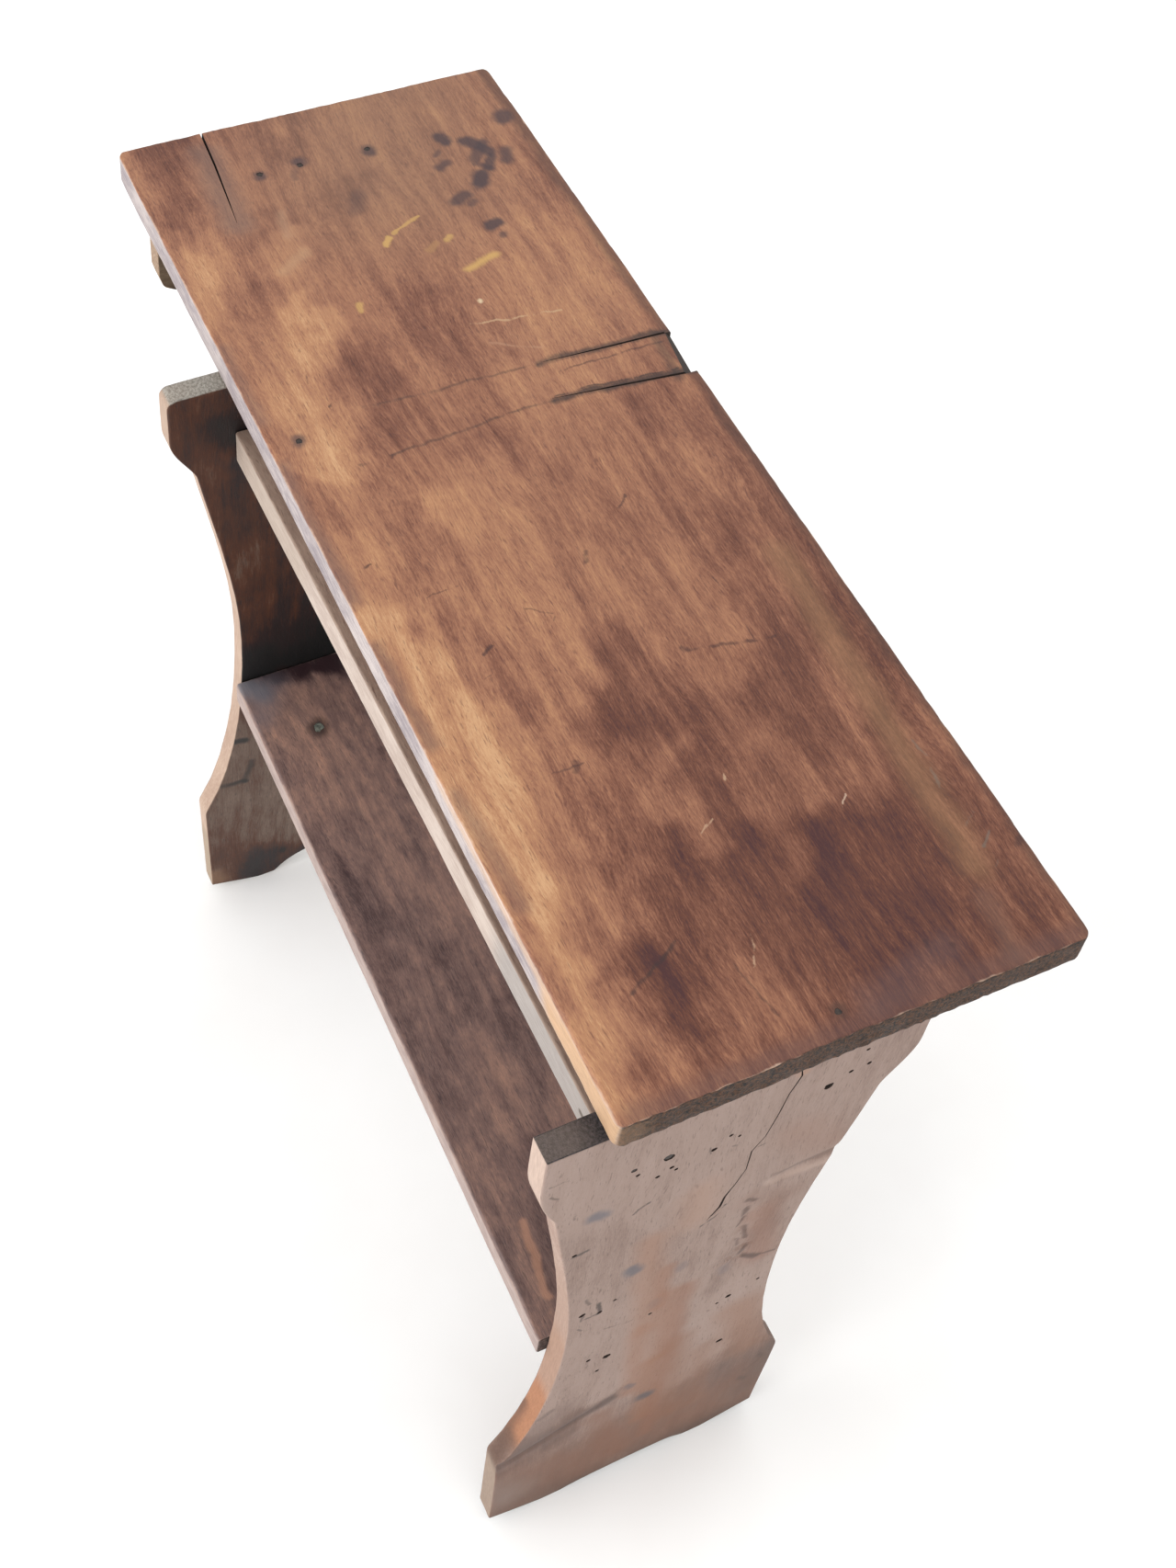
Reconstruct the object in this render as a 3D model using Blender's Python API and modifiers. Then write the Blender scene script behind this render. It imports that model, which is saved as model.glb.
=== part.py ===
"""Wooden milking stool: a long top on two waisted end boards, tied by a low shelf and two rails.

+X runs along the top towards its short overhang, -Y is the front and +Z is up. The origin is on the floor,
under the middle of the stool's box. All sizes are in metres.
"""

from collections import namedtuple
from math import pi, radians

import bmesh
import bpy
from mathutils import Euler, Matrix, Vector

# Overall sizes
HEIGHT = 0.500
TOP_LENGTH = 0.640
TOP_WIDTH = 0.230
TOP_THICKNESS = 0.018
BOARD_THICKNESS = 0.014

# Top board: its long edges run askew to its middle line, and its corners and arrises are worn round
TOP_SKEW = 0.0035
TOP_CORNER_RADIUS = 0.005
TOP_ARRIS = 0.0025
NEAR_OVERHANG = 0.005
FAR_OVERHANG = 0.166

# Notch chiselled in the top's rear edge, with a saw kerf running in from each of its ends
NOTCH_LENGTH = 0.031
NOTCH_FROM_FAR_END = 0.258
NOTCH_DEPTH = 0.0075
NOTCH_SLOPE = 0.006
NOTCH_TURN = radians(8)
KERF_WIDTH = 0.0012
KERF_DEPTH = 0.0015
KERF_LENGTH = 0.074

# Split that runs in from the top's far end, nearly along the grain
SPLIT_LENGTH = 0.082
SPLIT_WIDTH = 0.0012
SPLIT_DEPTH = 0.006
SPLIT_FROM_FRONT = 0.051
SPLIT_TURN = radians(-4)

# Each long side of an end board: how far its shoulder and its waist stand from the middle line, and the drop
# to the foot of its straight head and from there to its shoulder
Side = namedtuple("Side", "head_drop shoulder shoulder_fall waist waist_height")
PATTERN_SIDE = Side(head_drop=0.030, shoulder=0.079, shoulder_fall=0.031, waist=0.0575, waist_height=0.265)
NEAR_FRONT_SIDE = Side(head_drop=0.027, shoulder=0.083, shoulder_fall=0.039, waist=0.0615, waist_height=0.245)

# The foot's arch under each end board: its rise, and how far its crown stands to the rear of the middle line
Arch = namedtuple("Arch", "rise crown_shift")
NEAR_ARCH = Arch(rise=0.006, crown_shift=0.018)
FAR_ARCH = Arch(rise=0.016, crown_shift=0)

# How far each curve of that side pulls on past its ends, and how far it leans, as shares of its height
SHOULDER_PULL = 1 / 3
SHOULDER_LEAN = 1 / 6
WAIST_PULL = 1 / 3
WAIST_LEAN = 1 / 18
FOOT_PULL = 0.27
FOOT_LEAN = 0.14
ARCH_PULL = 0.7
ARCH_LEAN = 0.2

# End boards: a straight head, a round shoulder, a narrow waist and a flared foot on an arched base
END_WIDTH = 0.186
END_FRONT_REACH = 0.031
FOOT_WIDTH = 0.174
FOOT_HEIGHT = 0.097
TOE_WIDTH = 0.171
TOE_RISE = 0.009
KNEE_OUTER_WIDTH = 0.104
KNEE_INNER_WIDTH = 0.080
BOARD_ARRIS = 0.0012

# Shelf, between the end boards, a little wider than their waists and askew in plan
SHELF_HEIGHT = 0.228
SHELF_THICKNESS = 0.0165
SHELF_FRONT_LIP = 0.0073
SHELF_REAR_LIP = 0.0073
SHELF_SKEW = 0.0023

# Rails, between the end boards and below the top
RAIL_DROP = 0.034
RAIL_HEIGHT = 0.022
RAIL_DEPTH = 0.034
FRONT_RAIL_SETBACK = 0.0055
REAR_RAIL_SETBACK = 0.0205

# Cleat on edge under the far overhang
CLEAT_FROM_FAR_END = 0.039
CLEAT_HEIGHT = 0.046
CLEAT_SETBACK = 0.0075
CLEAT_CHAMFER_LENGTH = 0.010
CLEAT_CHAMFER_HEIGHT = 0.015

# Nails
NAIL_HEAD_RADIUS = 0.0024
NAIL_SHANK_RADIUS = 0.0013
NAIL_HEAD_THICKNESS = 0.0009
NAIL_POINT_LENGTH = 0.004
NAIL_LENGTH = 0.040
CLEAT_NAIL_LENGTH = 0.034
CLOUT_HEAD_RADIUS = 0.0042
CLOUT_LENGTH = 0.012
OLD_NAIL_LENGTH = 0.014
NAIL_SINK = 0.0003

# Where the nails stand: across from a board's middle line, or in from the far board and the front edge
TOP_NAILS = (-0.043, 0.0, 0.043)
CLEAT_NAILS = (-0.043, -0.019, 0.022)
SHELF_NAILS = (-0.038, 0.0, 0.038)
RAIL_NAILS = (-0.0085, 0.0085)
OLD_NAIL_IN = 0.065
OLD_NAIL_BACK = 0.017
CLOUT_IN = 0.050
CLOUT_FORWARD = 0.028

# Clearances
GAP = 0.0003
CUT_PAST = 0.002

# Smoothness
CURVE_STEPS = 7
TURNED_STEPS = 12
ARRIS_SEGMENTS = 2
CORNER_SEGMENTS = 4
SHARPEST_SOFT_EDGE = radians(35)
WELD = 1e-5

# Places worked out from the sizes
TOP_UNDERSIDE = HEIGHT - TOP_THICKNESS
END_TOP = TOP_UNDERSIDE - GAP
NEAR_OUTER_X = TOP_LENGTH / 2 - NEAR_OVERHANG
NEAR_INNER_X = NEAR_OUTER_X - BOARD_THICKNESS
FAR_OUTER_X = -TOP_LENGTH / 2 + FAR_OVERHANG
FAR_INNER_X = FAR_OUTER_X + BOARD_THICKNESS
BOX_FRONT = -TOP_WIDTH / 2 - END_FRONT_REACH
BOX_REAR = TOP_WIDTH / 2 + TOP_SKEW
TOP_Y = -(BOX_FRONT + BOX_REAR) / 2
TOP_FRONT_Y = TOP_Y - TOP_WIDTH / 2
TOP_REAR_Y = TOP_Y + TOP_WIDTH / 2
END_Y = TOP_FRONT_Y - END_FRONT_REACH + END_WIDTH / 2

PARTS = "milking_stool"
CUTTERS = "cutters"

UPRIGHT = Matrix(((0, 0, 1), (1, 0, 0), (0, 1, 0))).to_4x4()
DOWN = Euler((0, 0, 0))
INTO_NEAR_BOARD = Euler((0, pi / 2, 0))
INTO_FAR_BOARD = Euler((0, -pi / 2, 0))


def clear_scene():
    """Remove whatever the file holds and make the two collections."""
    for obj in list(bpy.data.objects):
        bpy.data.objects.remove(obj, do_unlink=True)
    for name in (PARTS, CUTTERS):
        bpy.context.scene.collection.children.link(bpy.data.collections.new(name))


def make_material(name, colour, roughness, metallic=0.0):
    """Principled material of one plain finish."""
    material = bpy.data.materials.new(name)
    material.use_nodes = True
    shader = material.node_tree.nodes["Principled BSDF"]
    shader.inputs["Base Color"].default_value = (*colour, 1.0)
    shader.inputs["Roughness"].default_value = roughness
    shader.inputs["Metallic"].default_value = metallic
    return material


def add_object(name, mesh, collection, material=None):
    """Put a mesh in the scene as one object of a collection."""
    obj = bpy.data.objects.new(name, mesh)
    bpy.data.collections[collection].objects.link(obj)
    if material:
        mesh.materials.append(material)
    return obj


def add_arris(obj, width):
    """Round the sharp edges."""
    bevel = obj.modifiers.new("arris", "BEVEL")
    bevel.width = width
    bevel.segments = ARRIS_SEGMENTS
    bevel.limit_method = "ANGLE"
    bevel.angle_limit = SHARPEST_SOFT_EDGE


def box_mesh(name, low, high):
    """Box between two corners."""
    low = Vector(low)
    high = Vector(high)
    form = bmesh.new()
    bmesh.ops.create_cube(form, size=1.0)
    bmesh.ops.scale(form, vec=high - low, verts=form.verts)
    bmesh.ops.translate(form, vec=(low + high) / 2, verts=form.verts)
    mesh = bpy.data.meshes.new(name)
    form.to_mesh(mesh)
    form.free()
    return mesh


def skew(mesh, shift):
    """Slide a mesh's ends along Y, the one at +X forwards and the one at -X back, by this much each."""
    low = min(vert.co.x for vert in mesh.vertices)
    high = max(vert.co.x for vert in mesh.vertices)
    for vert in mesh.vertices:
        vert.co.y -= shift * (2 * vert.co.x - low - high) / (high - low)


def make_box_board(name, low, high, material, shift=0.0):
    """Plain sawn board between two corners, or askew in plan."""
    mesh = box_mesh(name, low, high)
    skew(mesh, shift)
    board = add_object(name, mesh, PARTS, material)
    add_arris(board, BOARD_ARRIS)
    return board


def make_outline_board(name, outline, centre, material):
    """Board sawn to an outline of (point, handle before, handle after), each across and up, along X."""
    curve = bpy.data.curves.new(name, "CURVE")
    curve.dimensions = "2D"
    curve.fill_mode = "BOTH"
    curve.extrude = BOARD_THICKNESS / 2
    curve.resolution_u = CURVE_STEPS
    spline = curve.splines.new("BEZIER")
    spline.bezier_points.add(len(outline) - 1)
    spline.use_cyclic_u = True
    for place, (point, before, after) in zip(spline.bezier_points, outline):
        place.handle_left_type = "FREE" if before else "VECTOR"
        place.handle_right_type = "FREE" if after else "VECTOR"
        place.co = (*point, 0)
        if before:
            place.handle_left = (*before, 0)
        if after:
            place.handle_right = (*after, 0)
    guide = bpy.data.objects.new(name + "_outline", curve)
    bpy.data.collections[PARTS].objects.link(guide)
    guide.matrix_world = Matrix.Translation(centre) @ UPRIGHT
    bpy.context.view_layer.update()
    graph = bpy.context.evaluated_depsgraph_get()
    mesh = bpy.data.meshes.new_from_object(guide.evaluated_get(graph))
    mesh.name = name
    form = bmesh.new()
    form.from_mesh(mesh)
    bmesh.ops.remove_doubles(form, verts=form.verts, dist=WELD)
    bmesh.ops.recalc_face_normals(form, faces=form.faces)
    form.to_mesh(mesh)
    form.free()
    mesh.materials.clear()
    board = add_object(name, mesh, PARTS, material)
    board.matrix_world = guide.matrix_world.copy()
    bpy.data.objects.remove(guide, do_unlink=True)
    bpy.data.curves.remove(curve)
    add_arris(board, BOARD_ARRIS)
    return board


def mirrored(half):
    """The other half of a symmetric outline, run back up from the base to the top."""
    other = []
    for point, before, after in reversed(half):
        turned = [flip and (-flip[0], flip[1]) for flip in (point, after, before)]
        other.append(tuple(turned))
    return other


def end_board_side(side, arch):
    """Right side of an end board, as (point, handle before, handle after), with None for a straight run."""
    head = END_WIDTH / 2
    foot = FOOT_WIDTH / 2
    knee = KNEE_INNER_WIDTH / 2
    fall = side.shoulder_fall
    head_foot = END_TOP - side.head_drop
    shoulder_height = head_foot - fall
    upper = shoulder_height - side.waist_height
    lower = side.waist_height - FOOT_HEIGHT
    return [
        ((head, END_TOP), None, None),
        ((head, head_foot), None, (head, head_foot - fall * SHOULDER_PULL)),
        (
            (side.shoulder, shoulder_height),
            (side.shoulder + fall * SHOULDER_LEAN, shoulder_height + fall * SHOULDER_PULL),
            (side.shoulder - upper * WAIST_LEAN, shoulder_height - upper * WAIST_PULL),
        ),
        (
            (side.waist, side.waist_height),
            (side.waist, side.waist_height + upper * WAIST_PULL),
            (side.waist, side.waist_height - lower * WAIST_PULL),
        ),
        ((foot, FOOT_HEIGHT), (foot - lower * FOOT_LEAN, FOOT_HEIGHT + lower * FOOT_PULL), None),
        ((TOE_WIDTH / 2, TOE_RISE), None, None),
        ((KNEE_OUTER_WIDTH / 2, 0), None, None),
        ((knee, 0), None, (knee - knee * ARCH_LEAN, arch.rise * ARCH_PULL)),
    ]


def end_board_outline(front, rear, arch):
    """Whole outline: the rear side down, the crown of the foot's arch, and the front side up."""
    reach = KNEE_INNER_WIDTH * ARCH_LEAN
    middle, rise = arch.crown_shift, arch.rise
    crown = ((middle, rise), (middle + reach, rise), (middle - reach, rise))
    return [*end_board_side(rear, arch), crown, *mirrored(end_board_side(front, arch))]


def cleat_outline():
    """Outline of the cleat, up from its own lower edge, with each end tapered below."""
    half = TOP_WIDTH / 2 - CLEAT_SETBACK
    end = [
        ((half, CLEAT_HEIGHT), None, None),
        ((half, CLEAT_CHAMFER_HEIGHT), None, None),
        ((half - CLEAT_CHAMFER_LENGTH / 4, CLEAT_CHAMFER_HEIGHT / 3), None, None),
        ((half - CLEAT_CHAMFER_LENGTH, 0), None, None),
    ]
    return [*end, *mirrored(end)]


def top_shift(x):
    """How far the skew sets the top's long edges towards the rear at this place along it."""
    return -TOP_SKEW * x / (TOP_LENGTH / 2)


def make_top_board(material):
    """Top plank, askew in plan, with its four upright corners rounded."""
    mesh = box_mesh(
        "top_board",
        (-TOP_LENGTH / 2, TOP_FRONT_Y, TOP_UNDERSIDE),
        (TOP_LENGTH / 2, TOP_REAR_Y, HEIGHT),
    )
    skew(mesh, TOP_SKEW)
    form = bmesh.new()
    form.from_mesh(mesh)
    drop = TOP_THICKNESS / 2
    upright = [edge for edge in form.edges if abs(edge.verts[0].co.z - edge.verts[1].co.z) > drop]
    bmesh.ops.bevel(
        form,
        geom=upright,
        offset=TOP_CORNER_RADIUS,
        segments=CORNER_SEGMENTS,
        profile=0.5,
        affect="EDGES",
    )
    form.to_mesh(mesh)
    form.free()
    top = add_object("top_board", mesh, PARTS, material)
    add_arris(top, TOP_ARRIS)
    return top


def make_cutter(name, mesh):
    """Object that only cuts others."""
    cutter = add_object(name, mesh, CUTTERS)
    cutter.hide_render = True
    cutter.display_type = "WIRE"
    return cutter


def cut(piece, cutter):
    """Take the cutter's shape out of a piece."""
    boolean = piece.modifiers.new(cutter.name, "BOOLEAN")
    boolean.operation = "DIFFERENCE"
    boolean.solver = "EXACT"
    boolean.object = cutter


def cut_notch(top):
    """Sloping notch in the rear edge, deepest at the upper face, and the kerfs that run in from its ends."""
    middle = -TOP_LENGTH / 2 + NOTCH_FROM_FAR_END
    edge = TOP_REAR_Y + top_shift(middle)
    mesh = box_mesh(
        "rear_notch",
        (-NOTCH_LENGTH / 2, -NOTCH_DEPTH, TOP_UNDERSIDE - CUT_PAST),
        (NOTCH_LENGTH / 2, NOTCH_DEPTH, HEIGHT + CUT_PAST),
    )
    for vert in mesh.vertices:
        if vert.co.y < 0 and vert.co.z < HEIGHT:
            vert.co.y += NOTCH_SLOPE
    notch = make_cutter("rear_notch", mesh)
    notch.location = (middle, edge, 0)
    notch.rotation_euler.z = -NOTCH_TURN
    cut(top, notch)
    for side, end in (("far", -1), ("near", 1)):
        mesh = box_mesh(
            side + "_kerf",
            (-KERF_WIDTH / 2, -KERF_LENGTH, -KERF_DEPTH),
            (KERF_WIDTH / 2, CUT_PAST, CUT_PAST),
        )
        kerf = make_cutter(side + "_kerf", mesh)
        kerf.location = (middle + end * NOTCH_LENGTH / 2, edge, HEIGHT)
        cut(top, kerf)


def cut_split(top):
    """Split at the far end, a wedge that closes to a hair at its inner end."""
    mesh = box_mesh(
        "end_split", (-CUT_PAST, -SPLIT_WIDTH / 2, -SPLIT_DEPTH), (SPLIT_LENGTH, SPLIT_WIDTH / 2, CUT_PAST)
    )
    for vert in mesh.vertices:
        if vert.co.x > 0:
            vert.co.y /= 4
    split = make_cutter("end_split", mesh)
    far_end = -TOP_LENGTH / 2
    split.location = (far_end, TOP_FRONT_Y + top_shift(far_end) + SPLIT_FROM_FRONT, HEIGHT)
    split.rotation_euler.z = SPLIT_TURN
    cut(top, split)


def turned_mesh(name, profile):
    """Half section of (radius, height) points, top to bottom, as the edges that a Screw turns."""
    mesh = bpy.data.meshes.new(name)
    points = [(radius, 0, height) for radius, height in profile]
    mesh.from_pydata(points, [(i, i + 1) for i in range(len(points) - 1)], [])
    return mesh


def turn(obj):
    """Turn the profile about the object's own Z."""
    screw = obj.modifiers.new("turned", "SCREW")
    screw.steps = TURNED_STEPS
    screw.render_steps = TURNED_STEPS
    screw.use_merge_vertices = True
    screw.merge_threshold = WELD
    screw.use_smooth_shade = False


def nail_profile(length, head_radius, clearance=0.0, past=0.0):
    """Nail from its head's upper face at zero down to its point, or the hole for it."""
    head = head_radius + clearance
    shank = NAIL_SHANK_RADIUS + clearance
    neck = -NAIL_HEAD_THICKNESS - clearance
    return [
        (0, past),
        (head, past),
        (head, neck),
        (shank, neck),
        (shank, -length + NAIL_POINT_LENGTH - clearance),
        (0, -length - clearance),
    ]


def drive_nail(name, place, turned, pieces, iron, length=NAIL_LENGTH, head_radius=NAIL_HEAD_RADIUS):
    """Nail with its head just below the surface at a place, and its hole through each piece that it holds."""
    sunk = Vector(place) - turned.to_matrix() @ Vector((0, 0, NAIL_SINK))
    nail = add_object(name, turned_mesh(name, nail_profile(length, head_radius)), PARTS, iron)
    hole = make_cutter(
        name + "_hole", turned_mesh(name + "_hole", nail_profile(length, head_radius, GAP, CUT_PAST))
    )
    for obj in (nail, hole):
        obj.location = sunk
        obj.rotation_euler = turned
        turn(obj)
    for piece in pieces:
        cut(piece, hole)


def nail_top(top, near_board, far_board, cleat, iron):
    """Nails down through the top: over each end board, over the cleat, and one that holds nothing."""
    near_middle = (NEAR_OUTER_X + NEAR_INNER_X) / 2
    far_middle = (FAR_OUTER_X + FAR_INNER_X) / 2
    for side, x, board in (("near", near_middle, near_board), ("far", far_middle, far_board)):
        for number, across in enumerate(TOP_NAILS, start=1):
            drive_nail(f"top_nail_{side}_{number}", (x, END_Y + across, HEIGHT), DOWN, (top, board), iron)
    cleat_middle = -TOP_LENGTH / 2 + CLEAT_FROM_FAR_END + BOARD_THICKNESS / 2
    for number, across in enumerate(CLEAT_NAILS, start=1):
        place = (cleat_middle, TOP_Y + across, HEIGHT)
        drive_nail(f"cleat_nail_{number}", place, DOWN, (top, cleat), iron, CLEAT_NAIL_LENGTH)
    stray = (FAR_INNER_X + OLD_NAIL_IN, TOP_FRONT_Y + OLD_NAIL_BACK, HEIGHT)
    drive_nail("top_old_nail", stray, DOWN, (top,), iron, OLD_NAIL_LENGTH)


def nail_through_ends(near_board, far_board, shelf, rails, iron):
    """Nails in through both end boards, into the ends of the shelf and of the rails."""
    shelf_middle = SHELF_HEIGHT - SHELF_THICKNESS / 2
    rail_middle = TOP_UNDERSIDE - RAIL_DROP - RAIL_HEIGHT / 2
    ends = (
        ("near", near_board, NEAR_OUTER_X, INTO_NEAR_BOARD),
        ("far", far_board, FAR_OUTER_X, INTO_FAR_BOARD),
    )
    for side, board, x, turned in ends:
        for number, across in enumerate(SHELF_NAILS, start=1):
            place = (x, END_Y + across, shelf_middle)
            drive_nail(f"shelf_nail_{side}_{number}", place, turned, (board, shelf), iron)
        for rail_name, rail, middle in rails:
            for number, across in enumerate(RAIL_NAILS, start=1):
                place = (x, middle + across, rail_middle)
                drive_nail(f"{rail_name}_nail_{side}_{number}", place, turned, (board, rail), iron)


def main():
    clear_scene()
    top_wood = make_material("top_wood", (0.30, 0.125, 0.055), 0.5)
    end_wood = make_material("end_wood", (0.29, 0.17, 0.11), 0.7)
    shelf_wood = make_material("shelf_wood", (0.11, 0.06, 0.045), 0.6)
    rail_wood = make_material("rail_wood", (0.42, 0.29, 0.20), 0.7)
    iron = make_material("nail_iron", (0.09, 0.085, 0.08), 0.6, 0.8)

    top = make_top_board(top_wood)
    cut_notch(top)
    cut_split(top)

    near_outline = end_board_outline(NEAR_FRONT_SIDE, PATTERN_SIDE, NEAR_ARCH)
    near_centre = Vector((NEAR_OUTER_X - BOARD_THICKNESS / 2, END_Y, 0))
    near_board = make_outline_board("near_end_board", near_outline, near_centre, end_wood)
    far_outline = end_board_outline(PATTERN_SIDE, PATTERN_SIDE, FAR_ARCH)
    far_centre = Vector((FAR_INNER_X - BOARD_THICKNESS / 2, END_Y, 0))
    far_board = make_outline_board("far_end_board", far_outline, far_centre, end_wood)

    span = (FAR_INNER_X + GAP, NEAR_INNER_X - GAP)
    shelf = make_box_board(
        "shelf_board",
        (span[0], END_Y - PATTERN_SIDE.waist - SHELF_FRONT_LIP, SHELF_HEIGHT - SHELF_THICKNESS),
        (span[1], END_Y + PATTERN_SIDE.waist + SHELF_REAR_LIP, SHELF_HEIGHT),
        shelf_wood,
        SHELF_SKEW,
    )

    rail_top = TOP_UNDERSIDE - RAIL_DROP
    front_middle = TOP_FRONT_Y + FRONT_RAIL_SETBACK + RAIL_DEPTH / 2
    rear_middle = END_Y + END_WIDTH / 2 - REAR_RAIL_SETBACK - RAIL_DEPTH / 2
    rails = []
    for name, middle in (("front_rail", front_middle), ("rear_rail", rear_middle)):
        rail = make_box_board(
            name,
            (span[0], middle - RAIL_DEPTH / 2, rail_top - RAIL_HEIGHT),
            (span[1], middle + RAIL_DEPTH / 2, rail_top),
            rail_wood,
        )
        rails.append((name, rail, middle))

    cleat_x = -TOP_LENGTH / 2 + CLEAT_FROM_FAR_END + BOARD_THICKNESS / 2
    cleat = make_outline_board(
        "cleat", cleat_outline(), Vector((cleat_x, TOP_Y, END_TOP - CLEAT_HEIGHT)), end_wood
    )

    nail_top(top, near_board, far_board, cleat, iron)
    nail_through_ends(near_board, far_board, shelf, rails, iron)
    clout = (FAR_INNER_X + CLOUT_IN, END_Y - CLOUT_FORWARD, SHELF_HEIGHT)
    drive_nail("shelf_clout", clout, DOWN, (shelf,), iron, CLOUT_LENGTH, CLOUT_HEAD_RADIUS)


main()
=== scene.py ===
"""Looks of a wooden milking stool: worn nailed boards, a pale studio and its camera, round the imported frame.

Every board is a closed grid that follows the outline of its frame node, with worn arrises, uneven faces, and pits,
cracks and saw kerfs cut into it. Lengths are metres, apart from those whose names end in _mm and the places of marks
and cuts, which are given in millimetres. -Y is the front, +X the near end and +Z up.
"""

from __future__ import annotations

import logging
import sys
from collections.abc import Callable
from dataclasses import dataclass, field
from enum import Enum
from math import radians
from typing import ClassVar

import bmesh
import bpy
import numpy as np
from mathutils import Matrix, Vector


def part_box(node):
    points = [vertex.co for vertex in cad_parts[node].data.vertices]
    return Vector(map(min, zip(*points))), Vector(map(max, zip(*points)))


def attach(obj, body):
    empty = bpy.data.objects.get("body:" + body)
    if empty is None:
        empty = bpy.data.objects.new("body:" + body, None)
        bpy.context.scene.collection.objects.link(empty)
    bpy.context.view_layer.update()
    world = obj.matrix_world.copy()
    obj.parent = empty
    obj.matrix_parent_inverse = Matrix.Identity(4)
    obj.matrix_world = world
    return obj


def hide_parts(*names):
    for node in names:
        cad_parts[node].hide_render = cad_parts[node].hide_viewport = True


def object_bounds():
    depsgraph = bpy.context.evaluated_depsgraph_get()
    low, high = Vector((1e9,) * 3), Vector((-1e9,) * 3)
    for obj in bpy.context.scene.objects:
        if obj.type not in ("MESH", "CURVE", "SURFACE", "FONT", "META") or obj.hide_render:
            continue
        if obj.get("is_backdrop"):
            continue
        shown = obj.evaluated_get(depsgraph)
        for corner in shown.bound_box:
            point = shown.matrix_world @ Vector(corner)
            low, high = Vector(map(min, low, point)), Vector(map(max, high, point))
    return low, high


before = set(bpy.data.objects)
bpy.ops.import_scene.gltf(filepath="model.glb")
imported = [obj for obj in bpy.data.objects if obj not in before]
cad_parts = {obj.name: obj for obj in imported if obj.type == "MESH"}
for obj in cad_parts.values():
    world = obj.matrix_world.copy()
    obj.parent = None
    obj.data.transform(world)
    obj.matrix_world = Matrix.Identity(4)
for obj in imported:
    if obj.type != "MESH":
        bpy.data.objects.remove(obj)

LOG = logging.getLogger("milking_stool")
MM = 0.001
SEED = 11
Socket = bpy.types.NodeSocket
Triple = tuple[float, float, float]
Colour = tuple[float, float, float, float]


def linear(code: str) -> Colour:
    """Turn a six-digit sRGB code into a linear colour.

    Args:
        code: the code, with # in front.

    Returns:
        Linear red, green, blue and alpha.
    """
    parts = [int(code[i : i + 2], 16) / 255 for i in (1, 3, 5)]
    red, green, blue = (p / 12.92 if p <= 0.04045 else ((p + 0.055) / 1.055) ** 2.4 for p in parts)
    return red, green, blue, 1.0


# ---------------------------------------------------------------- unevenness


class Unevenness:
    """Smooth random field on a lattice, the same on every run for the same seed."""

    SIZE = 4096

    def __init__(self, seed: int) -> None:
        """Fill the lattice.

        Args:
            seed: picks the field.
        """
        rng = np.random.default_rng(seed)
        self.heights = rng.uniform(-1.0, 1.0, self.SIZE)
        self.order = rng.permutation(self.SIZE)

    def corner(self, cell: np.ndarray) -> np.ndarray:
        """Value at whole lattice points, an array of N by 3 integers."""
        index = np.zeros(len(cell), np.int64)
        for axis in range(3):
            index = self.order[(index + cell[:, axis]) % self.SIZE]
        return self.heights[index]

    def at(self, points: np.ndarray, size: float | tuple[float, float, float], octaves: int = 1) -> np.ndarray:
        """Field between -1 and 1 at some places.

        Args:
            points: N by 3 places.
            size: width of a bump, for all axes or for each.
            octaves: how many layers, each half the width and half the height of the one before.

        Returns:
            One value for each place.
        """
        total = np.zeros(len(points))
        height = 1.0
        scaled = points / np.asarray(size)
        for layer in range(octaves):
            spot = scaled * 2**layer + 17.3 * layer
            cell = np.floor(spot).astype(np.int64)
            part = spot - cell
            part = part * part * (3 - 2 * part)
            value = np.zeros(len(points))
            for step in np.ndindex(2, 2, 2):
                share = np.prod(np.where(step, part, 1 - part), axis=1)
                value += share * self.corner(cell + np.array(step))
            total += height * value
            height /= 2
        return total


# ---------------------------------------------------------------- node trees


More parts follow.
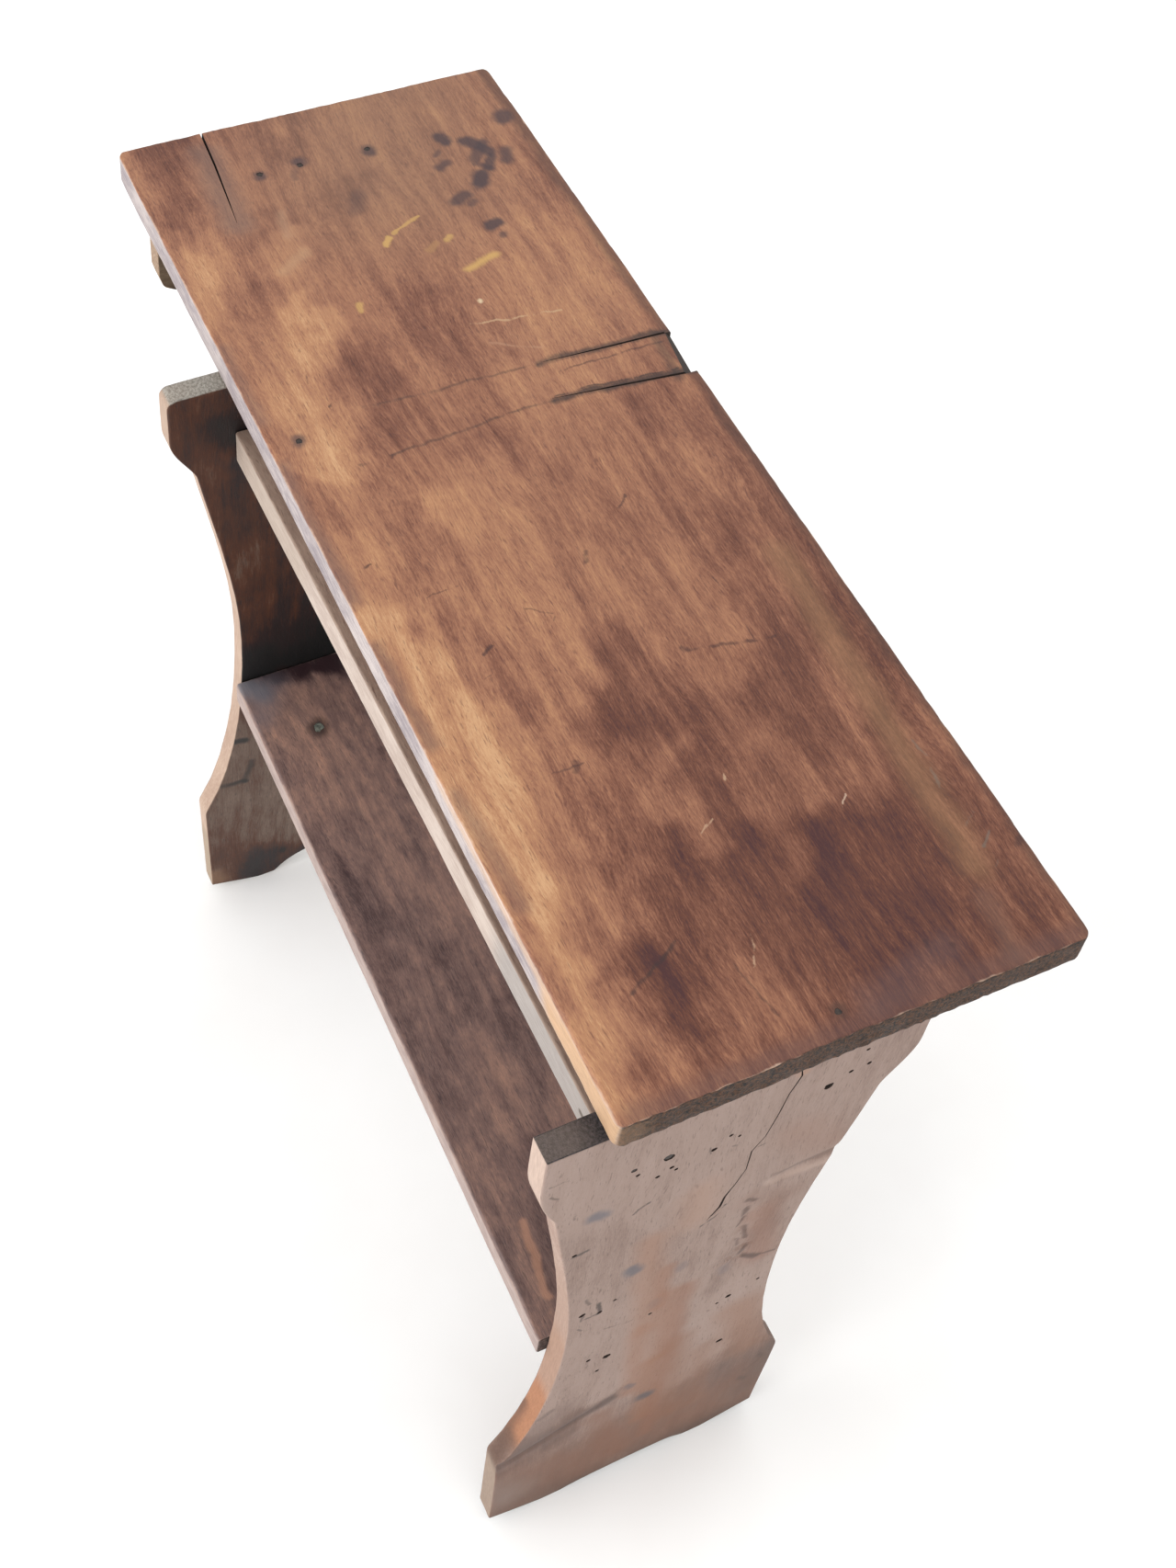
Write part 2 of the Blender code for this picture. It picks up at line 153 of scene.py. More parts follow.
class Graph:
    """A node tree being wired, with short ways to add the nodes that the finishes use."""

    def __init__(self, tree: bpy.types.NodeTree) -> None:
        """Start on a tree.

        Args:
            tree: the tree of a material or of a group.
        """
        self.tree = tree

    def add(self, kind: str, feeds: dict[str | int, object] | None = None, **settings: object) -> bpy.types.Node:
        """Add a node.

        Args:
            kind: its type, without the ShaderNode in front.
            feeds: what goes into each input, by name or number: a socket or a plain value.
            settings: the node's own properties.

        Returns:
            The node.
        """
        node = self.tree.nodes.new("ShaderNode" + kind)
        for name, setting in settings.items():
            setattr(node, name, setting)
        for name, fed in (feeds or {}).items():
            self.feed(node.inputs[name], fed)
        return node

    def feed(self, socket: Socket, fed: object) -> None:
        """Link a socket into an input, or set its plain value."""
        if isinstance(fed, Socket):
            self.tree.links.new(fed, socket)
        else:
            socket.default_value = fed

    def math(self, operation: str, first: object, second: object = 0.0, clamp: bool = False) -> Socket:
        """Sum of two values, or another operation on them."""
        return self.add("Math", {0: first, 1: second}, operation=operation, use_clamp=clamp).outputs[0]

    def vector(self, operation: str, first: object, second: object = (0.0, 0.0, 0.0)) -> Socket:
        """Vector operation that gives a vector."""
        return self.add("VectorMath", {0: first, 1: second}, operation=operation).outputs[0]

    def measure(self, operation: str, first: object, second: object = (0.0, 0.0, 0.0)) -> Socket:
        """Vector operation that gives a number, such as LENGTH or DOT_PRODUCT."""
        return self.add("VectorMath", {0: first, 1: second}, operation=operation).outputs["Value"]

    def mix(self, factor: object, first: object, second: object, blend: str = "MIX") -> Socket:
        """Mix two colours."""
        node = self.add("Mix", {0: factor, 6: first, 7: second}, data_type="RGBA", blend_type=blend)
        return node.outputs[2]

    def noise(self, vector: Socket, scale: Triple, detail: float = 2.0, roughness: float = 0.5) -> Socket:
        """Noise between 0 and 1.

        Args:
            vector: where it is looked up.
            scale: how much the vector is stretched on each axis.
            detail: how many finer layers it has.
            roughness: how strong the finer layers are.

        Returns:
            The noise.
        """
        stretched = self.vector("MULTIPLY", vector, scale)
        feeds = {"Vector": stretched, "Scale": 1.0, "Detail": detail, "Roughness": roughness}
        return self.add("TexNoise", feeds, noise_dimensions="3D").outputs["Fac"]

    def span(self, value: object, low: object, high: object, bottom: object = 0.0, top: object = 1.0) -> Socket:
        """Smooth step from bottom to top as a value goes from low to high.

        Args:
            value: what is looked at.
            low: where the step starts.
            high: where it ends.
            bottom: what it gives at and below low.
            top: what it gives at and above high.

        Returns:
            The stepped value.
        """
        feeds = {"Value": value, "From Min": low, "From Max": high, "To Min": bottom, "To Max": top}
        return self.add("MapRange", feeds, interpolation_type="SMOOTHSTEP").outputs["Result"]

    def ramp(self, factor: Socket, stops: list[tuple[float, Colour]]) -> Socket:
        """Colour ramp.

        Args:
            factor: where on the ramp a point is, from 0 to 1.
            stops: places on the ramp with their colours, in order.

        Returns:
            The colour.
        """
        node = self.add("ValToRGB", {0: factor})
        ramp = node.color_ramp
        while len(ramp.elements) < len(stops):
            ramp.elements.new(1.0)
        for element, (place, colour) in zip(ramp.elements, stops):
            element.position = place
            element.color = colour
        return node.outputs["Color"]


def group_graph(name: str, inputs: dict[str, str], outputs: dict[str, str]) -> tuple[Graph, dict, dict]:
    """Start a node group.

    Args:
        name: the group's name.
        inputs: type of each input socket by its name, Float, Vector or Color.
        outputs: the same for the outputs.

    Returns:
        Its graph, its inputs by name as sockets to link from, and its outputs as sockets to link to.
    """
    tree = bpy.data.node_groups.new(name, "ShaderNodeTree")
    for way, sockets in (("INPUT", inputs), ("OUTPUT", outputs)):
        for label, kind in sockets.items():
            tree.interface.new_socket(label, in_out=way, socket_type="NodeSocket" + kind)
    entry = tree.nodes.new("NodeGroupInput")
    way_out = tree.nodes.new("NodeGroupOutput")
    taken = {label: entry.outputs[label] for label in inputs}
    given = {label: way_out.inputs[label] for label in outputs}
    return Graph(tree), taken, given


class Effects:
    """The node groups that the materials share, each built once."""

    built: ClassVar[dict[str, bpy.types.NodeTree]] = {}
    NUDGE: ClassVar[float] = 1e-5
    GRAIN_SWAY_MM: ClassVar[float] = 30.0
    PORE_STEP: ClassVar[tuple[float, float]] = (0.60, 0.74)
    WEAR_FADE_MM: ClassVar[float] = 0.6

    @classmethod
    def stroke(cls) -> bpy.types.NodeTree:
        """Stroke painted over a colour from one place to another: a scratch, a scrape, a stain or a painted shadow.

        The colour under it nudges the vector by next to nothing, so that strokes are worked out one by one and a long
        row of them stays within the renderer's stack.

        Returns:
            The group.
        """
        if "stroke" in cls.built:
            return cls.built["stroke"]
        inputs = {"Vector": "Vector", "Under": "Color", "Colour": "Color", "Strength": "Float", "Start": "Vector"}
        inputs |= {"End": "Vector", "Half Width": "Float", "Softness": "Float"}
        graph, given, out = group_graph("stroke", inputs, {"Colour": "Color"})
        nudge = graph.add("VectorMath", {0: given["Under"], "Scale": cls.NUDGE}, operation="SCALE").outputs[0]
        place = graph.vector("ADD", given["Vector"], nudge)
        run = graph.vector("SUBTRACT", given["End"], given["Start"])
        off = graph.vector("SUBTRACT", place, given["Start"])
        reach = graph.measure("DOT_PRODUCT", off, run)
        share = graph.math("DIVIDE", reach, graph.measure("DOT_PRODUCT", run, run), clamp=True)
        spot = graph.add("VectorMath", {0: run, "Scale": share}, operation="SCALE").outputs[0]
        gap = graph.measure("LENGTH", graph.vector("SUBTRACT", off, spot))
        soft = graph.math("MULTIPLY", given["Half Width"], given["Softness"])
        outer = graph.math("ADD", given["Half Width"], soft)
        inner = graph.math("SUBTRACT", given["Half Width"], soft)
        mask = graph.math("MULTIPLY", graph.span(gap, inner, outer, 1.0, 0.0), given["Strength"])
        graph.feed(out["Colour"], graph.mix(mask, given["Under"], given["Colour"]))
        cls.built["stroke"] = graph.tree
        return graph.tree

    @classmethod
    def grain(cls) -> bpy.types.NodeTree:
        """Wood grain on a vector in millimetres whose X runs along the fibres.

        Returns:
            The group.
        """
        if "grain" in cls.built:
            return cls.built["grain"]
        inputs = {"Vector": "Vector", "Offset": "Vector", "Mottle Size": "Float"}
        labels = ("Clouds", "Mottle", "Figure", "Streak", "Fibre", "Pores")
        graph, given, out = group_graph("wood_grain", inputs, dict.fromkeys(labels, "Float"))
        place = graph.vector("ADD", given["Vector"], given["Offset"])
        sway = graph.math("SUBTRACT", graph.noise(place, (0.005, 0.015, 0.015), 2.0), 0.5)
        drift = graph.add("CombineXYZ", {"Y": graph.math("MULTIPLY", sway, cls.GRAIN_SWAY_MM)}).outputs[0]
        bent = graph.vector("ADD", place, drift)
        sized = graph.add("VectorMath", {0: place, "Scale": given["Mottle Size"]}, operation="SCALE").outputs[0]
        graph.feed(out["Clouds"], graph.noise(place, (0.007, 0.018, 0.018), 3.0, 0.55))
        graph.feed(out["Mottle"], graph.noise(sized, (0.028, 0.055, 0.055), 6.0, 0.62))
        graph.feed(out["Figure"], graph.noise(bent, (0.012, 0.16, 0.16), 3.0, 0.55))
        graph.feed(out["Streak"], graph.noise(bent, (0.09, 1.0, 1.0), 3.0, 0.65))
        graph.feed(out["Fibre"], graph.noise(bent, (0.35, 2.4, 2.4), 2.0, 0.7))
        pores = graph.noise(bent, (0.16, 1.3, 1.3), 1.0, 0.5)
        graph.feed(out["Pores"], graph.span(pores, *cls.PORE_STEP))
        cls.built["grain"] = graph.tree
        return graph.tree

    @classmethod
    def wear(cls) -> bpy.types.NodeTree:
        """Mask of wood rubbed bare near an arris, with a ragged inner edge.

        Returns:
            The group.
        """
        if "wear" in cls.built:
            return cls.built["wear"]
        inputs = {"Vector": "Vector", "Distance": "Float", "Reach": "Float", "Raggedness": "Float"}
        graph, given, out = group_graph("edge_wear", inputs, {"Mask": "Float"})
        coarse = graph.noise(given["Vector"], (0.05, 0.05, 0.05), 4.0, 0.65)
        swing = graph.math("MULTIPLY", graph.math("SUBTRACT", coarse, 0.5), given["Raggedness"])
        edge = graph.math("ADD", given["Reach"], swing)
        gap = graph.math("SUBTRACT", edge, given["Distance"])
        graph.feed(out["Mask"], graph.span(gap, -cls.WEAR_FADE_MM, cls.WEAR_FADE_MM))
        cls.built["wear"] = graph.tree
        return graph.tree


# ---------------------------------------------------------------- finishes


def paint(code: str, light: float, sheen: float = 0.01) -> Colour:
    """Base colour of a surface that should look like a colour code in the studio.

    Args:
        code: the colour as seen.
        light: how much of its base colour the surface sends back under the lamps.
        sheen: the white that it mirrors on top of that.

    Returns:
        Linear red, green, blue and alpha.
    """
    red, green, blue = (max(0.003, (part - sheen) / light) for part in linear(code)[:3])
    return red, green, blue, 1.0


@dataclass(frozen=True)
class Mark:
    """A stain, scratch, scrape or painted shadow on a board, a stroke from start to end in millimetres.

    Attributes:
        start: where its middle line starts.
        end: where it ends.
        half_width_mm: half of its width.
        softness: how far its border fades, as a share of its half width.
        colour: its colour as seen.
        strength: how far it covers what is under it.
    """

    start: Triple
    end: Triple
    half_width_mm: float
    softness: float
    colour: str
    strength: float


@dataclass(frozen=True)
class Patch:
    """A stretch of a face that is darker or lighter than the rest; on the far end board, at the shelf's far end and
    along the near board's gouge it is painted shade.

    Attributes:
        start: where its middle line starts, in millimetres.
        end: where it ends.
        half_width_mm: about half of its width.
        shift: how far it moves the tone, below 0 for darker.
    """

    start: Triple
    end: Triple
    half_width_mm: float
    shift: float


class Grain(Enum):
    """How a world vector is turned so that X runs along the fibres."""

    LONGWAYS = ("X", "Y", "Z")
    CROSSWAYS = ("Y", "Z", "X")
    UPRIGHT = ("Z", "Y", "X")


@dataclass(frozen=True)
class WoodFinish:
    """Old wood: the tones of its faces, its bare arrises, its end grain and the marks on it.

    Attributes:
        name: the material's name.
        grain: which way its fibres run.
        tones: colours as seen, from the darkest to the lightest.
        bare: colour of the wood rubbed bare along the arrises.
        edges: darker and lighter colour of the sawn edges.
        ends: darker and lighter colour of the end grain.
        light: how brightly the studio lights its faces.
        edge_light: the same for its edges.
        end_light: the same for its ends.
        sheen: the white that its faces mirror.
        bare_reach_mm: how far the bare wood reaches in from the arrises.
        raggedness_mm: how far that reach swings.
        clouds: how strong the widest tones of the grain are.
        mottle: the same for its blotches.
        figure: the same for its broad bands.
        streak: the same for its narrow bands.
        fibre: the same for its fibres.
        mottle_size: how much finer the blotches are than usual.
        pore_colour: colour of the pores as seen.
        pore_strength: how far the pores cover what is under them.
        roughness: how matt the faces are.
        edge_roughness: the same for sawn edges and bare wood.
        bump_mm: how far the fibres stand up.
        offset: where in the grain the board is cut from.
        patches: stretches that are darker or lighter.
        marks: marks on the faces.
        edge_marks: marks on the sawn edges.
    """

    name: str
    grain: Grain
    tones: tuple[tuple[float, str], ...]
    bare: str
    edges: tuple[str, str]
    ends: tuple[str, str]
    light: float = 1.2
    edge_light: float = 1.5
    end_light: float = 1.2
    sheen: float = 0.01
    bare_reach_mm: float = 0.3
    raggedness_mm: float = 5.0
    clouds: float = 0.35
    mottle: float = 0.4
    figure: float = 0.3
    streak: float = 0.28
    fibre: float = 0.2
    mottle_size: float = 1.0
    pore_colour: str = "#4a3028"
    pore_strength: float = 0.4
    roughness: float = 0.5
    edge_roughness: float = 0.75
    bump_mm: float = 0.14
    offset: Triple = (0.0, 0.0, 0.0)
    patches: tuple[Patch, ...] = ()
    marks: tuple[Mark, ...] = ()
    edge_marks: tuple[Mark, ...] = ()

    PATCH_DEPTH: ClassVar[float] = 4.0
    PATCH_FADE: ClassVar[float] = 2.1
    PATCH_SWAY_MM: ClassVar[Triple] = (22.0, 11.0, 15.0)
    PATCH_SWAY_SIZE: ClassVar[float] = 24 * MM
    MARK_SWAY_MM: ClassVar[float] = 9.0
    BARE_STRENGTH: ClassVar[float] = 0.8
    EDGE_STEP: ClassVar[tuple[float, float]] = (0.45, 0.85)
    END_STEP: ClassVar[tuple[float, float]] = (0.5, 0.85)
    BUMP_STRENGTH: ClassVar[float] = 0.9

    def material(self) -> bpy.types.Material:
        """Build the material of the faces, arrises, edges and end grain.

        Returns:
            The material.
        """
        material = bpy.data.materials.new(self.name)
        material.use_nodes = True
        graph = Graph(material.node_tree)
        shader = material.node_tree.nodes["Principled BSDF"]
        place = graph.add("TexCoord").outputs["Object"]
        place_mm = graph.vector("MULTIPLY", place, (1000.0, 1000.0, 1000.0))
        parts = graph.add("SeparateXYZ", {0: place_mm}).outputs
        turned = dict(zip("XYZ", (parts[axis] for axis in self.grain.value)))
        fibres = graph.add("CombineXYZ", turned).outputs[0]
        grain = graph.add("Group", node_tree=Effects.grain())
        graph.feed(grain.inputs["Vector"], fibres)
        grain.inputs["Offset"].default_value = self.offset
        grain.inputs["Mottle Size"].default_value = self.mottle_size

        # The tone shift holds the patches, some of them painted shade, and the painted shade of one face against the
        # other.
        rim, edge, end, shift = (
            graph.add("Attribute", attribute_name=name).outputs["Fac"]
            for name in ("rim_mm", "edge", "end_grain", "tone_and_shade_shift")
        )
        on_edge = graph.span(edge, *self.EDGE_STEP)
        colour = self.faces(graph, place_mm, grain.outputs, shift)
        wear = graph.add("Group", node_tree=Effects.wear())
        graph.feed(wear.inputs["Vector"], fibres)
        graph.feed(wear.inputs["Distance"], rim)
        wear.inputs["Reach"].default_value = self.bare_reach_mm
        wear.inputs["Raggedness"].default_value = self.raggedness_mm
        shade = graph.math("ADD", graph.math("MULTIPLY", grain.outputs["Streak"], 0.6), 0.7)
        bare = graph.mix(1.0, paint(self.bare, self.edge_light), shade, "MULTIPLY")
        colour = graph.mix(graph.math("MULTIPLY", wear.outputs["Mask"], self.BARE_STRENGTH), colour, bare)
        first, second = (paint(code, self.edge_light) for code in self.edges)
        tone = graph.span(graph.math("ADD", grain.outputs["Mottle"], grain.outputs["Streak"]), 0.75, 1.25)
        colour = graph.mix(on_edge, colour, graph.mix(tone, first, second))
        rough_end = graph.noise(place_mm, (0.6, 0.6, 0.6), 5.0, 0.75)
        first, second = (paint(code, self.end_light) for code in self.ends)
        ends = graph.mix(graph.span(rough_end, 0.36, 0.66), first, second)
        on_end = graph.span(end, *self.END_STEP)
        colour = graph.mix(on_end, colour, ends)
        on_side = graph.math("SUBTRACT", on_edge, graph.math("MULTIPLY", on_end, 0.8), clamp=True)
        for mark in self.edge_marks:
            node = self.stroke(graph, place_mm, colour, mark)
            graph.feed(node.inputs["Strength"], graph.math("MULTIPLY", on_side, mark.strength))
            graph.feed(node.inputs["Colour"], graph.mix(1.0, paint(mark.colour, self.edge_light), shade, "MULTIPLY"))
            colour = node.outputs["Colour"]
        graph.feed(shader.inputs["Base Color"], colour)

        polish = graph.math("ADD", graph.math("MULTIPLY", grain.outputs["Mottle"], 0.3), self.roughness - 0.15)
        worn = graph.math("MAXIMUM", on_edge, wear.outputs["Mask"])
        matt = graph.math("MULTIPLY", worn, self.edge_roughness - self.roughness)
        graph.feed(shader.inputs["Roughness"], graph.math("ADD", polish, matt, clamp=True))

        height = graph.math("MULTIPLY", grain.outputs["Fibre"], 0.5)
        height = graph.math("ADD", height, graph.math("MULTIPLY", grain.outputs["Streak"], 0.6))
        height = graph.math("SUBTRACT", height, graph.math("MULTIPLY", grain.outputs["Pores"], 0.5))
        rough = graph.math("MULTIPLY", rough_end, graph.math("ADD", graph.math("MULTIPLY", end, 8.0), 0.3))
        bump = graph.add("Bump", {"Height": graph.math("ADD", height, rough)})
        bump.inputs["Strength"].default_value = self.BUMP_STRENGTH
        bump.inputs["Distance"].default_value = self.bump_mm * MM
        graph.feed(shader.inputs["Normal"], bump.outputs["Normal"])
        return material

    def faces(self, graph: Graph, place_mm: Socket, grain: dict, shift: Socket) -> Socket:
        """Colour of the faces, before any wear.

        Args:
            graph: the material's graph.
            place_mm: places in millimetres.
            grain: outputs of the grain group.
            shift: how far the board moves the tone there: its own darker and lighter stretches, and painted shade.

        Returns:
            The colour.
        """
        blur = graph.add("TexNoise", {"Vector": place_mm, "Scale": 0.05, "Detail": 5.0, "Roughness": 0.6})
        swing = graph.vector("SUBTRACT", blur.outputs["Color"], (0.5, 0.5, 0.5))
        shaken = graph.vector("ADD", place_mm, graph.vector("MULTIPLY", swing, (self.MARK_SWAY_MM,) * 3))
        tone = graph.math("ADD", shift, 0.5)
        weights = {
            "Clouds": self.clouds, "Mottle": self.mottle, "Figure": self.figure, "Streak": self.streak,
            "Fibre": self.fibre,
        }
        for output, weight in weights.items():
            swing_tone = graph.math("MULTIPLY", graph.math("SUBTRACT", grain[output], 0.5), 2 * weight)
            tone = graph.math("ADD", tone, swing_tone)
        stops = [(spot, paint(code, self.light, self.sheen)) for spot, code in self.tones]
        colour = graph.ramp(graph.math("ADD", tone, 0.0, clamp=True), stops)
        pores = graph.math("MULTIPLY", grain["Pores"], self.pore_strength)
        colour = graph.mix(pores, colour, paint(self.pore_colour, self.light, self.sheen))
        for mark in self.marks:
            node = self.stroke(graph, shaken, colour, mark)
            node.inputs["Colour"].default_value = paint(mark.colour, self.light, self.sheen)
            node.inputs["Strength"].default_value = mark.strength
            colour = node.outputs["Colour"]
        return colour

    def patch_shift(self, points: np.ndarray, uneven: Unevenness, through: int) -> np.ndarray:
        """How far the patches move the tone at some places, with their outlines made uneven.

        Args:
            points: world places.
            uneven: the board's noise.
            through: the axis through the board; a patch fades fast along it, so that it stays on its own face.

        Returns:
            The shift at every place.
        """
        sway = np.stack([uneven.at(points + axis * 0.37, self.PATCH_SWAY_SIZE, 4) for axis in range(3)], axis=1)
        sway[:, through] = 0
        places = points / MM + sway * self.PATCH_SWAY_MM
        depth = np.where(np.arange(3) == through, self.PATCH_DEPTH, 1.0)
        total = np.zeros(len(points))
        for patch in self.patches:
            start, run = np.array(patch.start), np.subtract(patch.end, patch.start)
            share = np.clip((places - start) @ run / (run @ run), 0, 1)
            off = (places - start - share[:, None] * run) * depth
            gap = np.linalg.norm(off, axis=1) / patch.half_width_mm
            fade = np.clip((self.PATCH_FADE - gap) / self.PATCH_FADE, 0, 1)
            total += patch.shift * fade * fade * (3 - 2 * fade)
        return total

    @staticmethod
    def stroke(graph: Graph, vector: Socket, under: Socket, mark: Mark) -> bpy.types.Node:
        """Place one stroke group.

        Args:
            graph: the material's graph.
            vector: places in millimetres.
            under: the colour that it is painted over.
            mark: the stroke.

        Returns:
            The group's node, for its colour and strength to be set.
        """
        node = graph.add("Group", node_tree=Effects.stroke())
        graph.feed(node.inputs["Vector"], vector)
        graph.feed(node.inputs["Under"], under)
        node.inputs["Start"].default_value = mark.start
        node.inputs["End"].default_value = mark.end
        node.inputs["Half Width"].default_value = mark.half_width_mm
        node.inputs["Softness"].default_value = mark.softness
        return node


@dataclass(frozen=True)
class MottledFinish:
    """A plain substance with clouds of a second tone: iron, the dark lining of a cut, or floor paint.

    Attributes:
        name: the material's name.
        first: darker colour of the clouds.
        second: lighter colour of the clouds.
        size_mm: width of a cloud.
        roughness: how matt it is.
        metallic: how much of it is bare metal.
        bump_mm: how far the clouds stand up.
    """

    name: str
    first: str
    second: str
    size_mm: float
    roughness: float
    metallic: float = 0.0
    bump_mm: float = 0.1

    CLOUD_EDGES: ClassVar[tuple[float, float]] = (0.35, 0.65)

    def material(self) -> bpy.types.Material:
        """Build the material.

        Returns:
            The material.
        """
        material = bpy.data.materials.new(self.name)
        material.use_nodes = True
        graph = Graph(material.node_tree)
        shader = material.node_tree.nodes["Principled BSDF"]
        place = graph.add("TexCoord").outputs["Object"]
        scale = 1 / (self.size_mm * MM)
        cloud = graph.noise(place, (scale, scale, scale), 4.0, 0.65)
        stops = [(spot, linear(code)) for spot, code in zip(self.CLOUD_EDGES, (self.first, self.second))]
        graph.feed(shader.inputs["Base Color"], graph.ramp(cloud, stops))
        rough = graph.math("ADD", graph.math("MULTIPLY", cloud, 0.3), self.roughness - 0.15, clamp=True)
        graph.feed(shader.inputs["Roughness"], rough)
        shader.inputs["Metallic"].default_value = self.metallic
        bump = graph.add("Bump", {"Height": cloud})
        bump.inputs["Distance"].default_value = self.bump_mm * MM
        graph.feed(shader.inputs["Normal"], bump.outputs["Normal"])
        return material


# Dark material that lines the walls of the pits, cracks and kerfs.
CUT_LINING = MottledFinish("cut_dark_lining", "#1d1512", "#3b2c25", 2.0, 0.9)
IRON = MottledFinish("nail_iron", "#1f1a19", "#40352f", 1.6, 0.65, 0.15)
CLOUT_IRON = MottledFinish("clout_iron", "#53574f", "#8b8f84", 1.8, 0.45, 0.4)
FLOOR_PAINT = MottledFinish("floor_paint", "#f6f5f3", "#fbfbfa", 300.0, 0.6)


# ---------------------------------------------------------------- cuts


class Cuts:
    """Pits, cracks and kerfs of one board, gathered as closed shapes to cut from it."""

    ABOVE: ClassVar[float] = 1.5 * MM
    PIT_SIDES: ClassVar[int] = 9
    PIT_FLOOR: ClassVar[float] = 0.55
    PIT_MOUTH: ClassVar[float] = 1.1
    PIT_RAGGED: ClassVar[float] = 0.16

    def __init__(self, outward: Triple, seed: int) -> None:
        """Start with none.

        Args:
            outward: direction out of the face that they are cut in.
            seed: picks how uneven each one is.
        """
        self.form = bmesh.new()
        self.outward = Vector(outward)
        self.rng = np.random.default_rng(seed)

    def pit(self, place_mm: Triple, radius_mm: float, depth_mm: float) -> None:
        """Round hole with ragged sides that narrows to its bottom.

        Args:
            place_mm: its middle on the face.
            radius_mm: its radius at the face.
            depth_mm: its depth.
        """
        depth = depth_mm * MM + self.ABOVE
        middle = Vector(place_mm) * MM + self.outward * (self.ABOVE - depth / 2)
        turn = self.outward.to_track_quat("Z", "Y").to_matrix().to_4x4()
        made = bmesh.ops.create_cone(
            self.form,
            cap_ends=True,
            segments=self.PIT_SIDES,
            radius1=radius_mm * MM * self.PIT_FLOOR,
            radius2=radius_mm * MM * self.PIT_MOUTH,
            depth=depth,
            matrix=Matrix.Translation(middle) @ turn,
        )
        for vert in made["verts"]:
            vert.co += Vector(self.rng.uniform(-self.PIT_RAGGED, self.PIT_RAGGED, 3)) * radius_mm * MM

    def groove(self, places_mm: list[Triple], widths_mm: list[float], depth_mm: float) -> None:
        """Narrow cut along a path, with a floor half as wide as its mouth.

        Args:
            places_mm: the path, on the face.
            widths_mm: width of its mouth at each place.
            depth_mm: its depth.
        """
        path = [Vector(place) * MM for place in places_mm]
        rows = []
        for number, (place, width) in enumerate(zip(path, widths_mm)):
            ahead = path[min(number + 1, len(path) - 1)] - path[max(number - 1, 0)]
            aside = self.outward.cross(ahead).normalized() * width * MM / 2
            high = self.outward * self.ABOVE
            low = -self.outward * depth_mm * MM
            mouth, floor = aside * 1.5, aside / 2
            corners = (place + mouth + high, place + floor + low, place - floor + low, place - mouth + high)
            rows.append([self.form.verts.new(corner) for corner in corners])
        for first, second in zip(rows, rows[1:]):
            for i in range(4):
                self.form.faces.new((first[i], first[(i + 1) % 4], second[(i + 1) % 4], second[i]))
        self.form.faces.new(rows[0])
        self.form.faces.new(reversed(rows[-1]))

    def block(self, upper_mm: list[Triple], lower_mm: list[Triple]) -> None:
        """Notch between four corners over the face and four below it.

        Args:
            upper_mm: its upper corners in order round it.
            lower_mm: its lower corners in the same order.
        """
        high, low = ([self.form.verts.new(Vector(corner) * MM) for corner in ring] for ring in (upper_mm, lower_mm))
        for i in range(4):
            self.form.faces.new((high[i], high[(i + 1) % 4], low[(i + 1) % 4], low[i]))
        self.form.faces.new(high)
        self.form.faces.new(reversed(low))

    def apply(self, board: bpy.types.Object, cut_lining: bpy.types.Material) -> None:
        """Cut them all from a board, and line the walls of the cuts with a dark material.

        Args:
            board: the board.
            cut_lining: the dark material that lines the walls.
        """
        if not self.form.verts:
            self.form.free()
            return
        bmesh.ops.recalc_face_normals(self.form, faces=self.form.faces)
        mesh = bpy.data.meshes.new(board.name + "_cuts")
        self.form.to_mesh(mesh)
        self.form.free()
        mesh.materials.append(cut_lining)
        cutter = bpy.data.objects.new(board.name + "_cuts", mesh)
        bpy.context.scene.collection.objects.link(cutter)
        boolean = board.modifiers.new("cuts", "BOOLEAN")
        boolean.operation = "DIFFERENCE"
        boolean.solver = "EXACT"
        boolean.use_self = True
        boolean.material_mode = "TRANSFER"
        boolean.object = cutter
        bpy.context.view_layer.update()
        graph = bpy.context.evaluated_depsgraph_get()
        cut_mesh = bpy.data.meshes.new_from_object(board.evaluated_get(graph))
        board.modifiers.clear()
        self.drop_scraps(cut_mesh)
        board.data = cut_mesh
        bpy.data.objects.remove(cutter, do_unlink=True)

    @staticmethod
    def drop_scraps(mesh: bpy.types.Mesh) -> None:
        """Delete the slivers that the cuts leave loose, so that only the board itself is left.

        Args:
            mesh: the board's mesh once it is cut.
        """
        form = bmesh.new()
        form.from_mesh(mesh)
        unseen = set(form.faces)
        islands = []
        while unseen:
            island = [unseen.pop()]
            for face in island:
                for edge in face.edges:
                    if len(edge.link_faces) == 2:
                        fresh = [other for other in edge.link_faces if other in unseen]
                        unseen.difference_update(fresh)
                        island.extend(fresh)
            islands.append(island)
        islands.sort(key=len)
        scraps = [face for island in islands[:-1] for face in island]
        bmesh.ops.delete(form, geom=scraps, context="FACES")
        form.to_mesh(mesh)
        form.free()


# ---------------------------------------------------------------- boards


